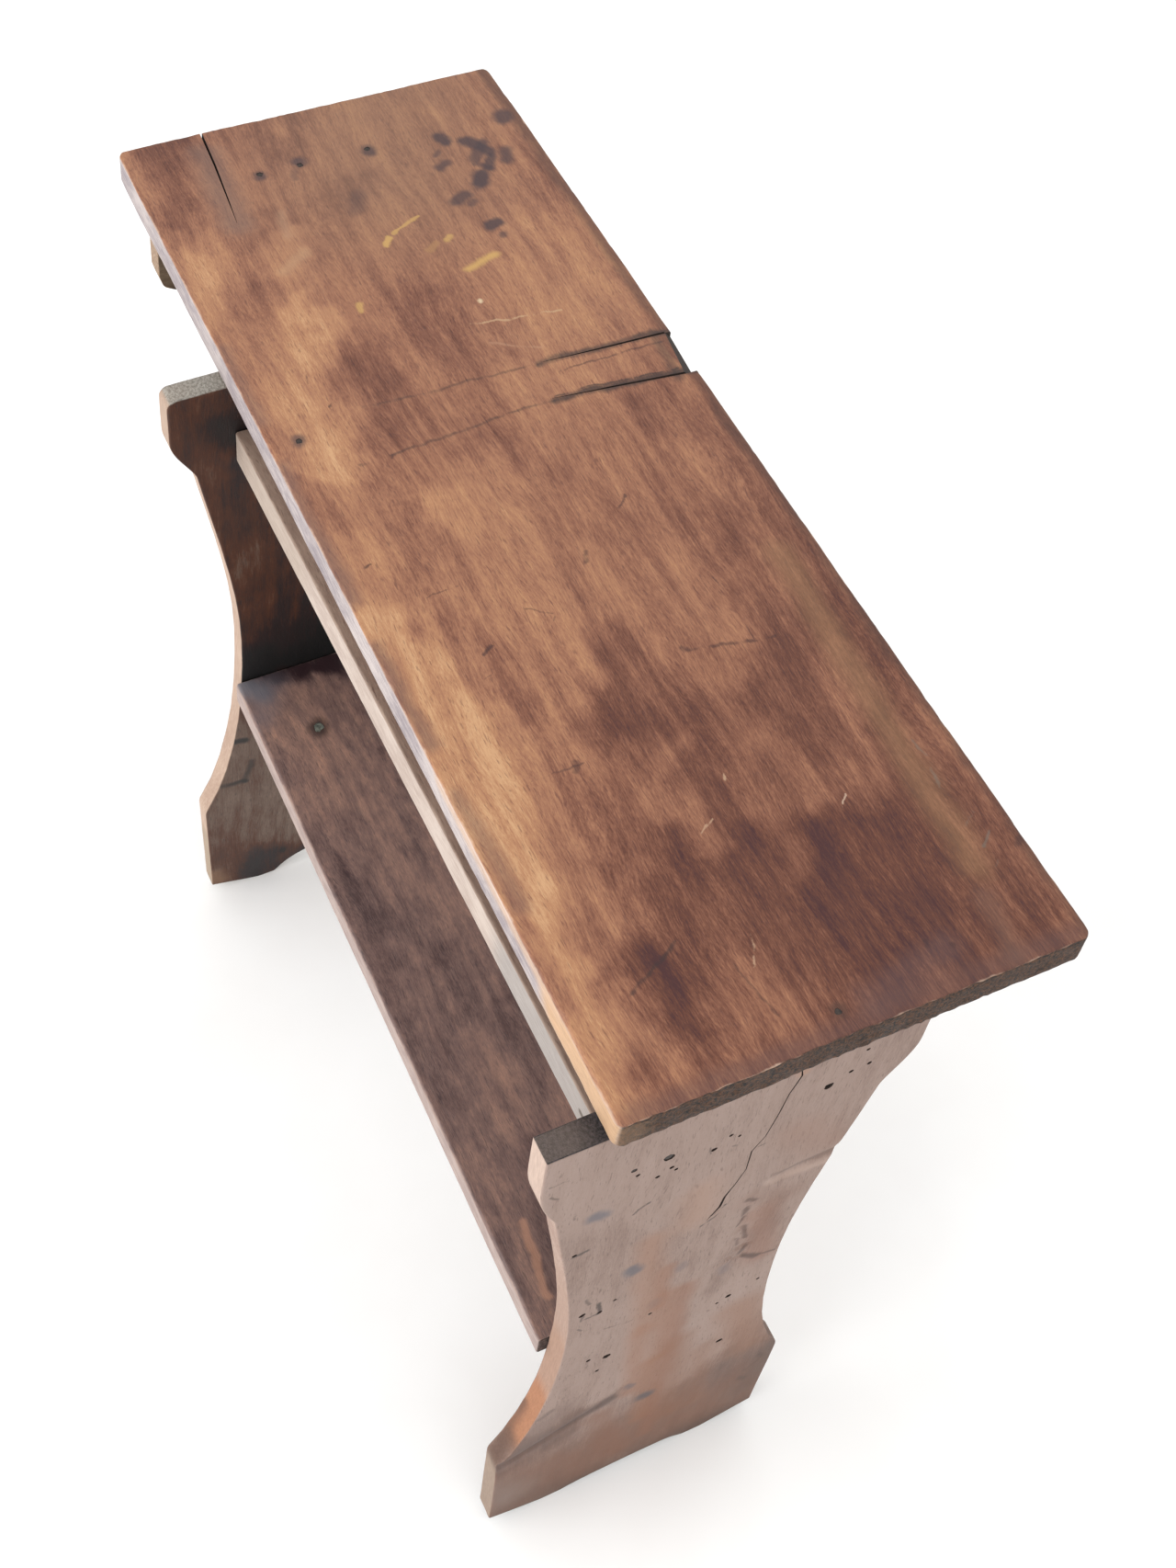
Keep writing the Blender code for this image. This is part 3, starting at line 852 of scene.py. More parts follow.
class Outline:
    """How far a frame node reaches across at each place along it."""

    def __init__(self, node: str, along: int, across: int) -> None:
        """Measure the node's mesh.

        Args:
            node: the frame node.
            along: the axis it is measured at.
            across: the axis that it is measured in.
        """
        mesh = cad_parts[node].data
        points = np.empty(len(mesh.vertices) * 3)
        mesh.vertices.foreach_get("co", points)
        ends = np.empty(len(mesh.edges) * 2, np.int64)
        mesh.edges.foreach_get("vertices", ends)
        self.points = points.reshape(-1, 3)[:, (along, across)]
        self.ends = ends.reshape(-1, 2)

    def reach(self, values: np.ndarray) -> tuple[np.ndarray, np.ndarray]:
        """How far the node reaches at some places along it.

        Args:
            values: the places.

        Returns:
            Its lowest and its highest reach at each of them.
        """
        first, second = self.points[self.ends[:, 0]], self.points[self.ends[:, 1]]
        lows, highs = [], []
        for value in values:
            before, after = first[:, 0] - value, second[:, 0] - value
            met = (before * after <= 0) & (before != after)
            share = before[met] / (before[met] - after[met])
            across = first[met, 1] + share * (second[met, 1] - first[met, 1])
            lows.append(across.min())
            highs.append(across.max())
        return np.array(lows), np.array(highs)


@dataclass
class Board:
    """One sawn board, gridded closely enough to carry its wear.

    The board has an upper face, the one at the high side of its through axis, and a lower face.

    Attributes:
        node: the frame node that it stands for.
        slot: the record's material slot of its finish; not used.
        finish: its wood.
        axes: the world axes along, across and through it.
        pitch: spacing of its grid.
        arris: usual radius of its worn arrises.
        hollow: how uneven its faces are.
        raggedness: how uneven its sawn edges are.
        seed: picks its unevenness.
        field_of: the noise of that unevenness.
    """

    node: str
    slot: str
    finish: WoodFinish
    axes: tuple[int, int, int]
    pitch: float = 2.6 * MM
    arris: float = 1.2 * MM
    hollow: float = 0.15 * MM
    raggedness: float = 0.15 * MM
    seed: int = SEED
    field_of: Unevenness = field(init=False)

    BEVEL_TURNS: ClassVar[tuple[float, ...]] = (30.0, 60.0, 90.0)
    MIDDLE_RINGS: ClassVar[int] = 3
    SHARP_DEGREES: ClassVar[float] = 42.0
    RIM_LIMIT_MM: ClassVar[float] = 50.0
    END_GRAIN_DEPTH: ClassVar[float] = 3 * MM
    END_STEPS_MM: ClassVar[tuple[float, ...]] = (0.0, 0.5, 1.2, 2.1, 3.2, 4.6)

    def __post_init__(self) -> None:
        """Measure the node."""
        low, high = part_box(self.node)
        self.low, self.high = np.array(low), np.array(high)
        self.field_of = Unevenness(self.seed)
        along, across, _ = self.axes
        outline = Outline(self.node, along, across)
        self.samples = self.stations(self.low[along] + 0.02 * MM, self.high[along] - 0.02 * MM, 1.5 * MM)
        self.reach_low, self.reach_high = outline.reach(self.samples)

    def stations(self, low: float, high: float, pitch: float) -> np.ndarray:
        """Places from low to high, closer together towards the ends.

        Args:
            low: the first place.
            high: the last place.
            pitch: their spacing away from the ends.

        Returns:
            The places in order.
        """
        ends = np.array(self.END_STEPS_MM) * MM
        count = max(2, round((high - low - 2 * ends[-1]) / pitch))
        middle = np.linspace(low + ends[-1], high - ends[-1], count + 1)
        return np.concatenate([low + ends[:-1], middle, (high - ends[:-1])[::-1]])

    def grid_lines(self) -> tuple[np.ndarray, np.ndarray]:
        """Lines of the board's grid.

        Returns:
            Lines along and across, as shares of the length and of the width.
        """
        along, across, _ = self.axes
        shares = []
        for axis in (along, across):
            places = self.stations(self.low[axis], self.high[axis], self.pitch)
            shares.append((places - places[0]) / (places[-1] - places[0]))
        return shares[0], shares[1]

    def place(self, share_along: np.ndarray, share_across: np.ndarray) -> tuple[np.ndarray, np.ndarray]:
        """Turn shares of the length, and of the width there, into places.

        Args:
            share_along: shares of the length.
            share_across: shares of the width.

        Returns:
            Places along and across.
        """
        axis = self.axes[0]
        along = self.low[axis] + share_along * (self.high[axis] - self.low[axis])
        low = np.interp(along, self.samples, self.reach_low)
        high = np.interp(along, self.samples, self.reach_high)
        return along, low + share_across * (high - low)

    def world(self, along: np.ndarray, across: np.ndarray, through: np.ndarray) -> np.ndarray:
        """Turn the board's own coordinates into world places.

        Args:
            along: places along the board.
            across: places across it.
            through: places through it.

        Returns:
            World places, N by 3.
        """
        points = np.empty((along.size, 3))
        for axis, values in zip(self.axes, (along, across, through)):
            points[:, axis] = np.broadcast_to(values, along.shape).ravel()
        return points

    def arris_at(self, points: np.ndarray, side: str, upper: bool) -> np.ndarray:
        """Radius of the arris at places on a side: the start or end of the board, or its low or high edge."""
        return self.arris * (1 + 0.35 * self.field_of.at(points, 18 * MM, 2))

    def relief(self, points: np.ndarray, upper: bool) -> np.ndarray:
        """How far a face stands from flat at some places, always towards the inside of the board."""
        depth = self.hollow * np.clip(1 + self.field_of.at(points, self.stretched(60 * MM), 2), 0, 2)
        return -depth if upper else depth

    def edge_relief(self, points: np.ndarray, on_end: np.ndarray) -> np.ndarray:
        """How far the sawn edges stand back at some places; on_end is 1 on an end and 0 on a long edge."""
        bumps = self.field_of.at(points, 4 * MM, 2) * (0.35 + 0.65 * on_end)
        return self.raggedness * np.clip(0.8 + bumps + 0.8 * self.field_of.at(points, 40 * MM), 0.05, None)

    def stretched(self, size: float) -> tuple[float, float, float]:
        """Bump size that is three times longer along the grain."""
        sizes = [size, size, size]
        sizes[self.axes[0]] *= 3
        return tuple(sizes)

    def cuts(self) -> list[Cuts]:
        """Pits, cracks and kerfs."""
        return []

    def face(self, lines: tuple[np.ndarray, np.ndarray], upper: bool) -> tuple[np.ndarray, np.ndarray]:
        """Grid of one face, drawn in from the outline by the arris.

        Args:
            lines: grid lines along and across, as shares.
            upper: True for the upper face.

        Returns:
            World places by row and column, and how far the arris takes the face in at every place.
        """
        along_axis, across_axis, through_axis = self.axes
        level = (self.high if upper else self.low)[through_axis]
        length = self.high[along_axis] - self.low[along_axis]
        share_along, share_across = np.meshgrid(*lines, indexing="ij")
        taken = {}
        whole = slice(None)
        sides = {"start": (0, whole), "end": (-1, whole), "low": (whole, 0), "high": (whole, -1)}
        for side, pick in sides.items():
            along, across = self.place(share_along[pick], share_across[pick])
            taken[side] = self.arris_at(self.world(along, across, np.float64(level)), side, upper)
        start, end = taken["start"][None, :] / length, taken["end"][None, :] / length
        width = (self.high - self.low)[across_axis]
        low, high = taken["low"][:, None] / width, taken["high"][:, None] / width
        inner_along = start + share_along * (1 - start - end)
        inner_across = low + share_across * (1 - low - high)
        along, across = self.place(inner_along, inner_across)
        points = self.world(along, across, np.float64(level))
        points[:, through_axis] += self.relief(points, upper)
        taken_in = np.zeros(share_along.shape)
        taken_in[0, :], taken_in[-1, :] = taken["start"], taken["end"]
        taken_in[:, 0] = np.where(taken_in[:, 0] > 0, (taken_in[:, 0] + taken["low"]) / 2, taken["low"])
        taken_in[:, -1] = np.where(taken_in[:, -1] > 0, (taken_in[:, -1] + taken["high"]) / 2, taken["high"])
        return points.reshape(*share_along.shape, 3), taken_in

    def build(self, cut_lining: bpy.types.Material) -> bpy.types.Object:
        """Make the board's mesh, cut it, mark its edges and dress it.

        Args:
            cut_lining: the dark material that lines its cuts.

        Returns:
            The board.
        """
        lines = self.grid_lines()
        rows, columns = len(lines[0]), len(lines[1])
        through = self.axes[2]
        upper, upper_in = self.face(lines, True)
        lower, lower_in = self.face(lines, False)
        loop = [(i, 0) for i in range(rows)] + [(rows - 1, j) for j in range(1, columns)]
        loop += [(i, columns - 1) for i in range(rows - 2, -1, -1)] + [(0, j) for j in range(columns - 2, 0, -1)]
        around = tuple(np.array(loop).T)
        along, across = self.place(lines[0][around[0]], lines[1][around[1]])
        middle = (self.low[through] + self.high[through]) / 2
        outer = self.world(along, across, np.float64(middle))
        on_end = ((around[0] == 0) | (around[0] == rows - 1)).astype(float)

        rings = self.rim(upper[around], upper_in[around], outer, on_end, True)
        rings += self.rim(lower[around], lower_in[around], outer, on_end, False)[::-1]
        points = [upper.reshape(-1, 3), lower.reshape(-1, 3), *rings]
        faces = self.weave(rows, columns, around, len(rings))
        mesh = bpy.data.meshes.new(self.node + "_worn")
        mesh.from_pydata(np.concatenate(points).tolist(), [], faces)
        form = bmesh.new()
        form.from_mesh(mesh)
        bmesh.ops.recalc_face_normals(form, faces=form.faces)
        form.to_mesh(mesh)
        form.free()
        board = bpy.data.objects.new(self.node + "_worn", mesh)
        bpy.context.scene.collection.objects.link(board)
        mesh.materials.append(self.finish.material())
        for cut in self.cuts():
            cut.apply(board, cut_lining)
        self.mark_edges(board.data)
        board.data.shade_smooth()
        board.data.set_sharp_from_angle(angle=radians(self.SHARP_DEGREES))
        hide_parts(self.node)
        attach(board, "root")
        LOG.info("%s: %d faces", board.name, len(board.data.polygons))
        return board

    def rim(
        self, inner: np.ndarray, taken: np.ndarray, outer: np.ndarray, on_end: np.ndarray, upper: bool
    ) -> list[np.ndarray]:
        """Rings from a face's border round its arris to near the middle of the edge.

        Args:
            inner: the face's border.
            taken: the arris's radius at each of its places.
            outer: the outline at mid thickness.
            on_end: 1 where the border is an end of the board.
            upper: True for the high face.

        Returns:
            One array of places for each ring, outwards.
        """
        through = self.axes[2]
        sign = 1 if upper else -1
        level = (self.high if upper else self.low)[through]
        middle = (self.high[through] + self.low[through]) / 2
        half = (self.high[through] - self.low[through]) / 2
        lift = inner[:, through] - level
        inwards = inner - outer
        inwards[:, through] = 0
        inwards /= np.maximum(np.linalg.norm(inwards, axis=1, keepdims=True), 1e-9)
        rings = []
        depths = [(np.sin(radians(turn)), taken * (1 - np.cos(radians(turn)))) for turn in self.BEVEL_TURNS]
        for step in range(1, self.MIDDLE_RINGS):
            depths.append((1.0, taken + (half - taken) * step / self.MIDDLE_RINGS))
        for share, depth in depths:
            ring = inner + (outer - inner) * share
            fade = 1 - depth / half
            ring[:, through] = level - sign * depth + lift * fade
            back = self.edge_relief(ring, on_end) * share
            ring += inwards * back[:, None]
            rings.append(ring)
        if upper:
            ring = outer.copy()
            ring[:, through] = middle
            rings.append(ring + inwards * self.edge_relief(ring, on_end)[:, None])
        return rings

    @staticmethod
    def weave(rows: int, columns: int, around: tuple[np.ndarray, np.ndarray], rings: int) -> list[tuple[int, ...]]:
        """Faces of the two grids and of the rings between them.

        Args:
            rows: grid lines along.
            columns: grid lines across.
            around: row and column of each place of the border.
            rings: how many rings join the faces.

        Returns:
            The vertex numbers of every face.
        """
        number = np.arange(rows * columns).reshape(rows, columns)
        faces = []
        for shift in (0, rows * columns):
            block = number + shift
            quads = np.stack([block[:-1, :-1], block[1:, :-1], block[1:, 1:], block[:-1, 1:]], axis=-1)
            faces += [tuple(quad) for quad in quads.reshape(-1, 4).tolist()]
        count = len(around[0])
        first = 2 * rows * columns
        bands = [number[around]]
        bands += [np.arange(count) + first + ring * count for ring in range(rings)]
        bands.append(number[around] + rows * columns)
        for near, far in zip(bands, bands[1:]):
            quads = np.stack([near, np.roll(near, -1), np.roll(far, -1), far], axis=-1)
            faces += [tuple(quad) for quad in quads.tolist()]
        return faces

    def tone_and_shade_shift(self, points: np.ndarray, normals: np.ndarray) -> np.ndarray:
        """Painted shade: how much lighter the board is painted at some places than its finish, between -1 and 1."""
        return np.zeros(len(points))

    def rim_distance(self, points: np.ndarray) -> np.ndarray:
        """How far some places are from the outline.

        Args:
            points: world places.

        Returns:
            The distance of every place, in metres.
        """
        along_axis, across_axis, _ = self.axes
        along, across = points[:, along_axis], points[:, across_axis]
        low = np.interp(along, self.samples, self.reach_low)
        high = np.interp(along, self.samples, self.reach_high)
        ends = np.minimum(along - self.low[along_axis], self.high[along_axis] - along)
        return np.minimum(np.minimum(across - low, high - across), ends)

    def mark_edges(self, mesh: bpy.types.Mesh) -> None:
        """Store where the arrises, the sawn edges and the end grain are, and how far the patches and the painted shade
        move the tone, for the finish to read.

        Args:
            mesh: the board's finished mesh.
        """
        count = len(mesh.vertices)
        points = np.empty(count * 3)
        mesh.vertices.foreach_get("co", points)
        points = points.reshape(-1, 3)
        normals = np.array([tuple(vert.normal) for vert in mesh.vertices])
        along, _, through = self.axes
        patches = self.finish.patch_shift(points, self.field_of, through)
        rim = self.rim_distance(points)
        stored = {
            # Painted shade of one face against the other, added to the patches.
            "tone_and_shade_shift": self.tone_and_shade_shift(points, normals) + patches,
            "rim_mm": np.clip(rim / MM, 0, self.RIM_LIMIT_MM),
            "edge": np.clip(1 - np.abs(normals[:, through]), 0, 1),
            "end_grain": np.abs(normals[:, along]) * (rim < self.END_GRAIN_DEPTH),
        }
        for name, values in stored.items():
            made = mesh.attributes.new(name, "FLOAT", "POINT")
            made.data.foreach_set("value", values.astype(np.float32))


# ---------------------------------------------------------------- the wood of each board

LENGTHWISE = (0, 1, 2)
UPRIGHT_BOARD = (2, 1, 0)
CLEAT_AXES = (1, 2, 0)
TOP = 500.0
NEAR_FACE = 315.0
FAR_FACE = -140.0
SHELF_TOP = 228.0


def on_top(x: float, y: float) -> Triple:
    """Place on the upper face of the top, in millimetres."""
    return x, y, TOP


def on_near(y: float, z: float) -> Triple:
    """Place on the outer face of the near end board, in millimetres."""
    return NEAR_FACE, y, z


def on_far(y: float, z: float) -> Triple:
    """Place on the inner face of the far end board, in millimetres."""
    return FAR_FACE, y, z


def on_shelf(x: float, y: float) -> Triple:
    """Place on the upper face of the shelf, in millimetres."""
    return x, y, SHELF_TOP


def patches_on(face: Callable[[float, float], Triple], *rows: tuple[float, ...]) -> tuple[Patch, ...]:
    """Patches of one face.

    Args:
        face: gives a place on the face.
        rows: where each one starts and ends on the face, its half width and its shift.

    Returns:
        The patches.
    """
    return tuple(Patch(face(*row[:2]), face(*row[2:4]), *row[4:]) for row in rows)


def marks_on(face: Callable[[float, float], Triple], *rows: tuple[float | str, ...]) -> tuple[Mark, ...]:
    """Marks of one face.

    Args:
        face: gives a place on the face.
        rows: where each one starts and ends on the face, its half width, softness, colour and strength.

    Returns:
        The marks.
    """
    return tuple(Mark(face(*row[:2]), face(*row[2:4]), *row[4:]) for row in rows)


STAIN = "#4f4347"
SCRAPE = "#d9b06c"
PALE_SCRATCH = "#c69a7c"
DARK_SCRATCH = "#4d352d"
SOOT = "#3f3335"


def top_patches() -> tuple[Patch, ...]:
    """Darker and lighter stretches of the top, from the near end to the far end."""
    return patches_on(
        on_top,
        (170, 40, 320, 20, 62, -0.13),
        (60, 112, 320, 100, 30, -0.12),
        (-40, -78, 220, -86, 30, 0.09),
        (240, 70, 315, 62, 22, -0.20),
        (225, 45, 315, 28, 16, -0.15),
        (235, -5, 318, 12, 20, -0.13),
        (225, -35, 262, -52, 18, -0.21),
        (270, -60, 318, -70, 14, -0.17),
        (110, 2, 140, -12, 14, -0.20),
        (150, 14, 218, 8, 10, -0.15),
        (140, -18, 210, -25, 14, -0.08),
        (60, 90, 190, 62, 13, -0.09),
        (-35, 84, 60, 76, 10, -0.08),
        (-10, 35, 30, 28, 12, -0.09),
        (-40, 122, 310, 114, 9, -0.11),
        (-100, -24, -62, -34, 12, -0.10),
        (-45, -52, 22, -58, 11, -0.12),
        (-36, -88, -12, -86, 8, -0.11),
        (60, -58, 110, -50, 10, -0.11),
        (-150, 8, -112, -28, 14, -0.09),
        (-225, -48, -178, -72, 13, -0.12),
        (-312, -72, -262, -90, 12, -0.21),
        (-318, 8, -298, -16, 12, -0.12),
        (-256, 14, -224, 4, 11, -0.12),
        (-160, -58, -50, -78, 14, 0.24),
        (50, -84, 215, -92, 14, 0.26),
        (225, -90, 318, -97, 9, 0.18),
        (-205, -36, -158, -46, 10, 0.16),
        (-226, -86, -172, -95, 8, 0.14),
        (-24, -24, 0, -38, 12, 0.14),
        (146, 98, 185, 84, 10, 0.12),
        (-172, 110, -85, 60, 26, 0.10),
        (190, 58, 222, 34, 10, 0.10),
        (180, -6, 218, -18, 9, 0.14),
        (0, -10, 90, -28, 16, 0.10),
    )


def top_marks() -> tuple[Mark, ...]:
    """Stains, scrapes and scratches of the top."""
    return marks_on(
        on_top,
        (-330, 60, -250, 30, 60, 0.9, "#8f7460", 0.35),
        (-300, -52, -240, -56, 9, 0.8, "#7c6a63", 0.45),
        (315, 132, 317, -95, 5, 0.9, "#6b5350", 0.45),
        (300, 62, 309, 20, 8, 0.8, "#6f5a5a", 0.35),
        (-319, 128, 318, 125, 3.5, 0.9, "#5c4640", 0.6),
        (-60, -101, 30, -100, 5, 0.9, "#76605c", 0.5),
        (60, -100, 120, -98, 4, 0.9, "#715a56", 0.5),
        (150, -98, 212, -96, 4, 0.9, "#715a56", 0.4),
        (-150, -98, -95, -97, 4, 0.9, "#7d6660", 0.35),
        (-275, 121, -272, 120, 5.5, 0.5, STAIN, 0.8),
        (-246, 110, -238, 108, 4.0, 0.6, STAIN, 0.7),
        (-261, 92, -248, 100, 4.2, 0.5, STAIN, 0.85),
        (-256, 100, -244, 90, 3.6, 0.6, STAIN, 0.7),
        (-243, 100, -234, 93, 3.2, 0.6, STAIN, 0.8),
        (-240, 88, -232, 94, 2.4, 0.6, STAIN, 0.6),
        (-229, 86, -224, 84, 5.2, 0.5, STAIN, 0.9),
        (-269, 79, -265, 81, 4.4, 0.5, STAIN, 0.85),
        (-258, 73, -256, 71, 2.2, 0.6, STAIN, 0.55),
        (-247, 74, -244, 68, 3.0, 0.6, STAIN, 0.7),
        (-218, 72, -215, 66, 4.0, 0.6, STAIN, 0.75),
        (-211, 74, -209, 71, 2.4, 0.6, STAIN, 0.6),
        (-191, 80, -189, 75, 3.8, 0.5, STAIN, 0.85),
        (-181, 79, -180, 78, 2.2, 0.6, STAIN, 0.6),
        (-238, 16, -228, 10, 5, 0.8, STAIN, 0.35),
        (-273, 35.8, -272, 35.8, 4.2, 0.6, STAIN, 0.8),
        (-277, -5.2, -276, -5.2, 4.0, 0.6, STAIN, 0.75),
        (-273, -29.3, -272, -29.3, 3.8, 0.6, STAIN, 0.75),
        (-75.5, -84.2, -74.5, -84.2, 4.0, 0.6, "#5b4a4a", 0.75),
        (307.5, 3.8, 308, 3.8, 3.6, 0.6, "#54423d", 0.6),
        (-166, 66, -162, 48, 2.4, 0.8, SCRAPE, 0.75),
        (-188, 50, -186, 47, 2.4, 0.5, SCRAPE, 0.6),
        (-186, 39, -182, 34, 2.2, 0.5, "#b98d62", 0.5),
        (-211, 38, -202, 22, 1.2, 0.5, SCRAPE, 0.6),
        (-199, 18, -195, 14, 2.0, 0.5, SCRAPE, 0.75),
        (-156, -17, -152, -18, 2.0, 0.5, SCRAPE, 0.6),
        (-114, 82, -121, 32, 0.7, 0.6, "#d3b08a", 0.6),
        (-92, 60, -104, 34, 0.8, 0.8, PALE_SCRATCH, 0.4),
        (-137, 44, -136, 43, 1.2, 0.5, "#e6cda8", 0.9),
        (-79.5, 128, -82, 52, 2.0, 0.8, SOOT, 0.75),
        (-82, 52, -84, -44, 0.9, 0.8, SOOT, 0.45),
        (-49, 128, -55, 48, 2.3, 0.8, SOOT, 0.8),
        (-55, 48, -49, -62, 0.9, 0.8, SOOT, 0.5),
        (-51.5, 126, -57.5, 50, 0.6, 0.6, SOOT, 0.6),
        (-73.5, 122, -73.5, 60, 0.6, 0.7, DARK_SCRATCH, 0.55),
        (-80, 119, -46, 117, 3.0, 0.9, SOOT, 0.5),
        (125, 78, 116, 36, 0.8, 0.7, DARK_SCRATCH, 0.6),
        (116, 37, 114, 34, 1.4, 0.6, DARK_SCRATCH, 0.6),
        (58, 67, 104, 68, 0.5, 0.5, DARK_SCRATCH, 0.55),
        (112, 68, 128, 68, 0.5, 0.5, DARK_SCRATCH, 0.5),
        (21, 89, 14, 80, 0.6, 0.6, DARK_SCRATCH, 0.5),
        (18, 53, 24, 46, 0.9, 0.5, DARK_SCRATCH, 0.7),
        (155, -40, 156, -76, 0.6, 0.7, DARK_SCRATCH, 0.5),
        (153, -42, 158, -44, 1.2, 0.6, DARK_SCRATCH, 0.5),
        (253, -44, 267, -72, 0.9, 0.8, "#44302c", 0.6),
        (262, -28, 300, -20, 0.6, 0.8, "#44302c", 0.4),
        (-136, -60, -112, -66, 0.5, 0.8, DARK_SCRATCH, 0.35),
        (44, 18, 50, 15, 1.2, 0.6, DARK_SCRATCH, 0.6),
        (66, -24, 72, -14, 0.5, 0.6, DARK_SCRATCH, 0.5),
        (74, -14, 80, -20, 0.5, 0.6, DARK_SCRATCH, 0.5),
        (80, -50, 84, -55, 0.9, 0.6, DARK_SCRATCH, 0.7),
        (12, -82, 15, -88, 0.9, 0.6, DARK_SCRATCH, 0.7),
        (39, -46, 42, -66, 0.5, 0.6, DARK_SCRATCH, 0.45),
        (92, -50, 98, -66, 0.4, 0.6, DARK_SCRATCH, 0.4),
        (-94, -58, -92, -60, 1.3, 0.5, DARK_SCRATCH, 0.75),
        (-50, -44, -47, -46, 0.9, 0.6, DARK_SCRATCH, 0.5),
        (293, 55, 295, 55, 1.6, 0.6, DARK_SCRATCH, 0.6),
        (299, 66, 300, 66, 1.4, 0.6, DARK_SCRATCH, 0.6),
        (265, 123, 267, 122, 1.8, 0.6, DARK_SCRATCH, 0.5),
        (-270, -10, -264, -12, 2.0, 0.8, STAIN, 0.4),
        (200, 108, 212, 109, 0.7, 0.7, "#78736c", 0.55),
        (216, 106, 229, 105, 0.7, 0.7, "#78736c", 0.55),
        (246, 110, 250, 104, 0.7, 0.7, "#78736c", 0.55),
        (256, 111, 262, 106, 0.7, 0.7, "#78736c", 0.55),
        (268, 110, 273, 106, 0.7, 0.7, "#78736c", 0.55),
        (80, 106, 270, 97, 7.0, 0.95, "#a5805f", 0.35),
        (286, 92, 314, 88, 5.0, 0.95, "#8f6f60", 0.3),
        (294, 37, 300, 36, 0.5, 0.5, "#e0c4ac", 0.7),
        (215, 62, 222, 57, 0.5, 0.5, "#e0c4ac", 0.6),
        (184, 18, 198, 15, 0.5, 0.5, "#d8b596", 0.6),
        (205, 0, 210, -8, 0.5, 0.6, "#d8b596", 0.5),
        (262, -12, 275, -18, 0.5, 0.6, "#d8b596", 0.5),
        (-238, -30, -222, -34, 3.0, 0.9, "#c39b7c", 0.4),
        (-205, -30, -195, -45, 3.5, 0.9, "#c8a07c", 0.4),
    )


TOP_WOOD = WoodFinish(
    name="top_wood",
    grain=Grain.LONGWAYS,
    tones=(
        (0.0, "#56372f"), (0.2, "#714b3f"), (0.38, "#8f6250"),
        (0.56, "#ab7a60"), (0.76, "#c08e6b"), (1.0, "#d9ab82"),
    ),
    bare="#e8c6ae",
    edges=("#a3979c", "#ddd0cc"),
    ends=("#180a04", "#775036"),
    light=1.22,
    edge_light=1.5,
    end_light=1.5,
    sheen=0.04,
    bare_reach_mm=0.5,
    raggedness_mm=5.0,
    clouds=0.2,
    mottle=0.25,
    figure=0.3,
    streak=0.24,
    fibre=0.28,
    pore_colour="#5a3a2c",
    roughness=0.46,
    patches=top_patches(),
    marks=top_marks(),
    edge_marks=(
        Mark((262, -104, 494), (322, -104, 492), 14, 0.5, "#e3b78c", 0.9),
        Mark((140, -103, 500), (262, -104, 499), 6, 0.6, "#e6c1a2", 0.7),
        Mark((-320, -104, 486), (-60, -104, 484), 5, 0.9, "#998a8c", 0.5),
        Mark((-320, -105, 499.4), (215, -103, 499.4), 1.8, 0.9, "#efd8cc", 0.75),
        Mark((-300, 131, 491), (310, 125, 491), 16, 0.6, "#6b5348", 0.95),
    ),
)
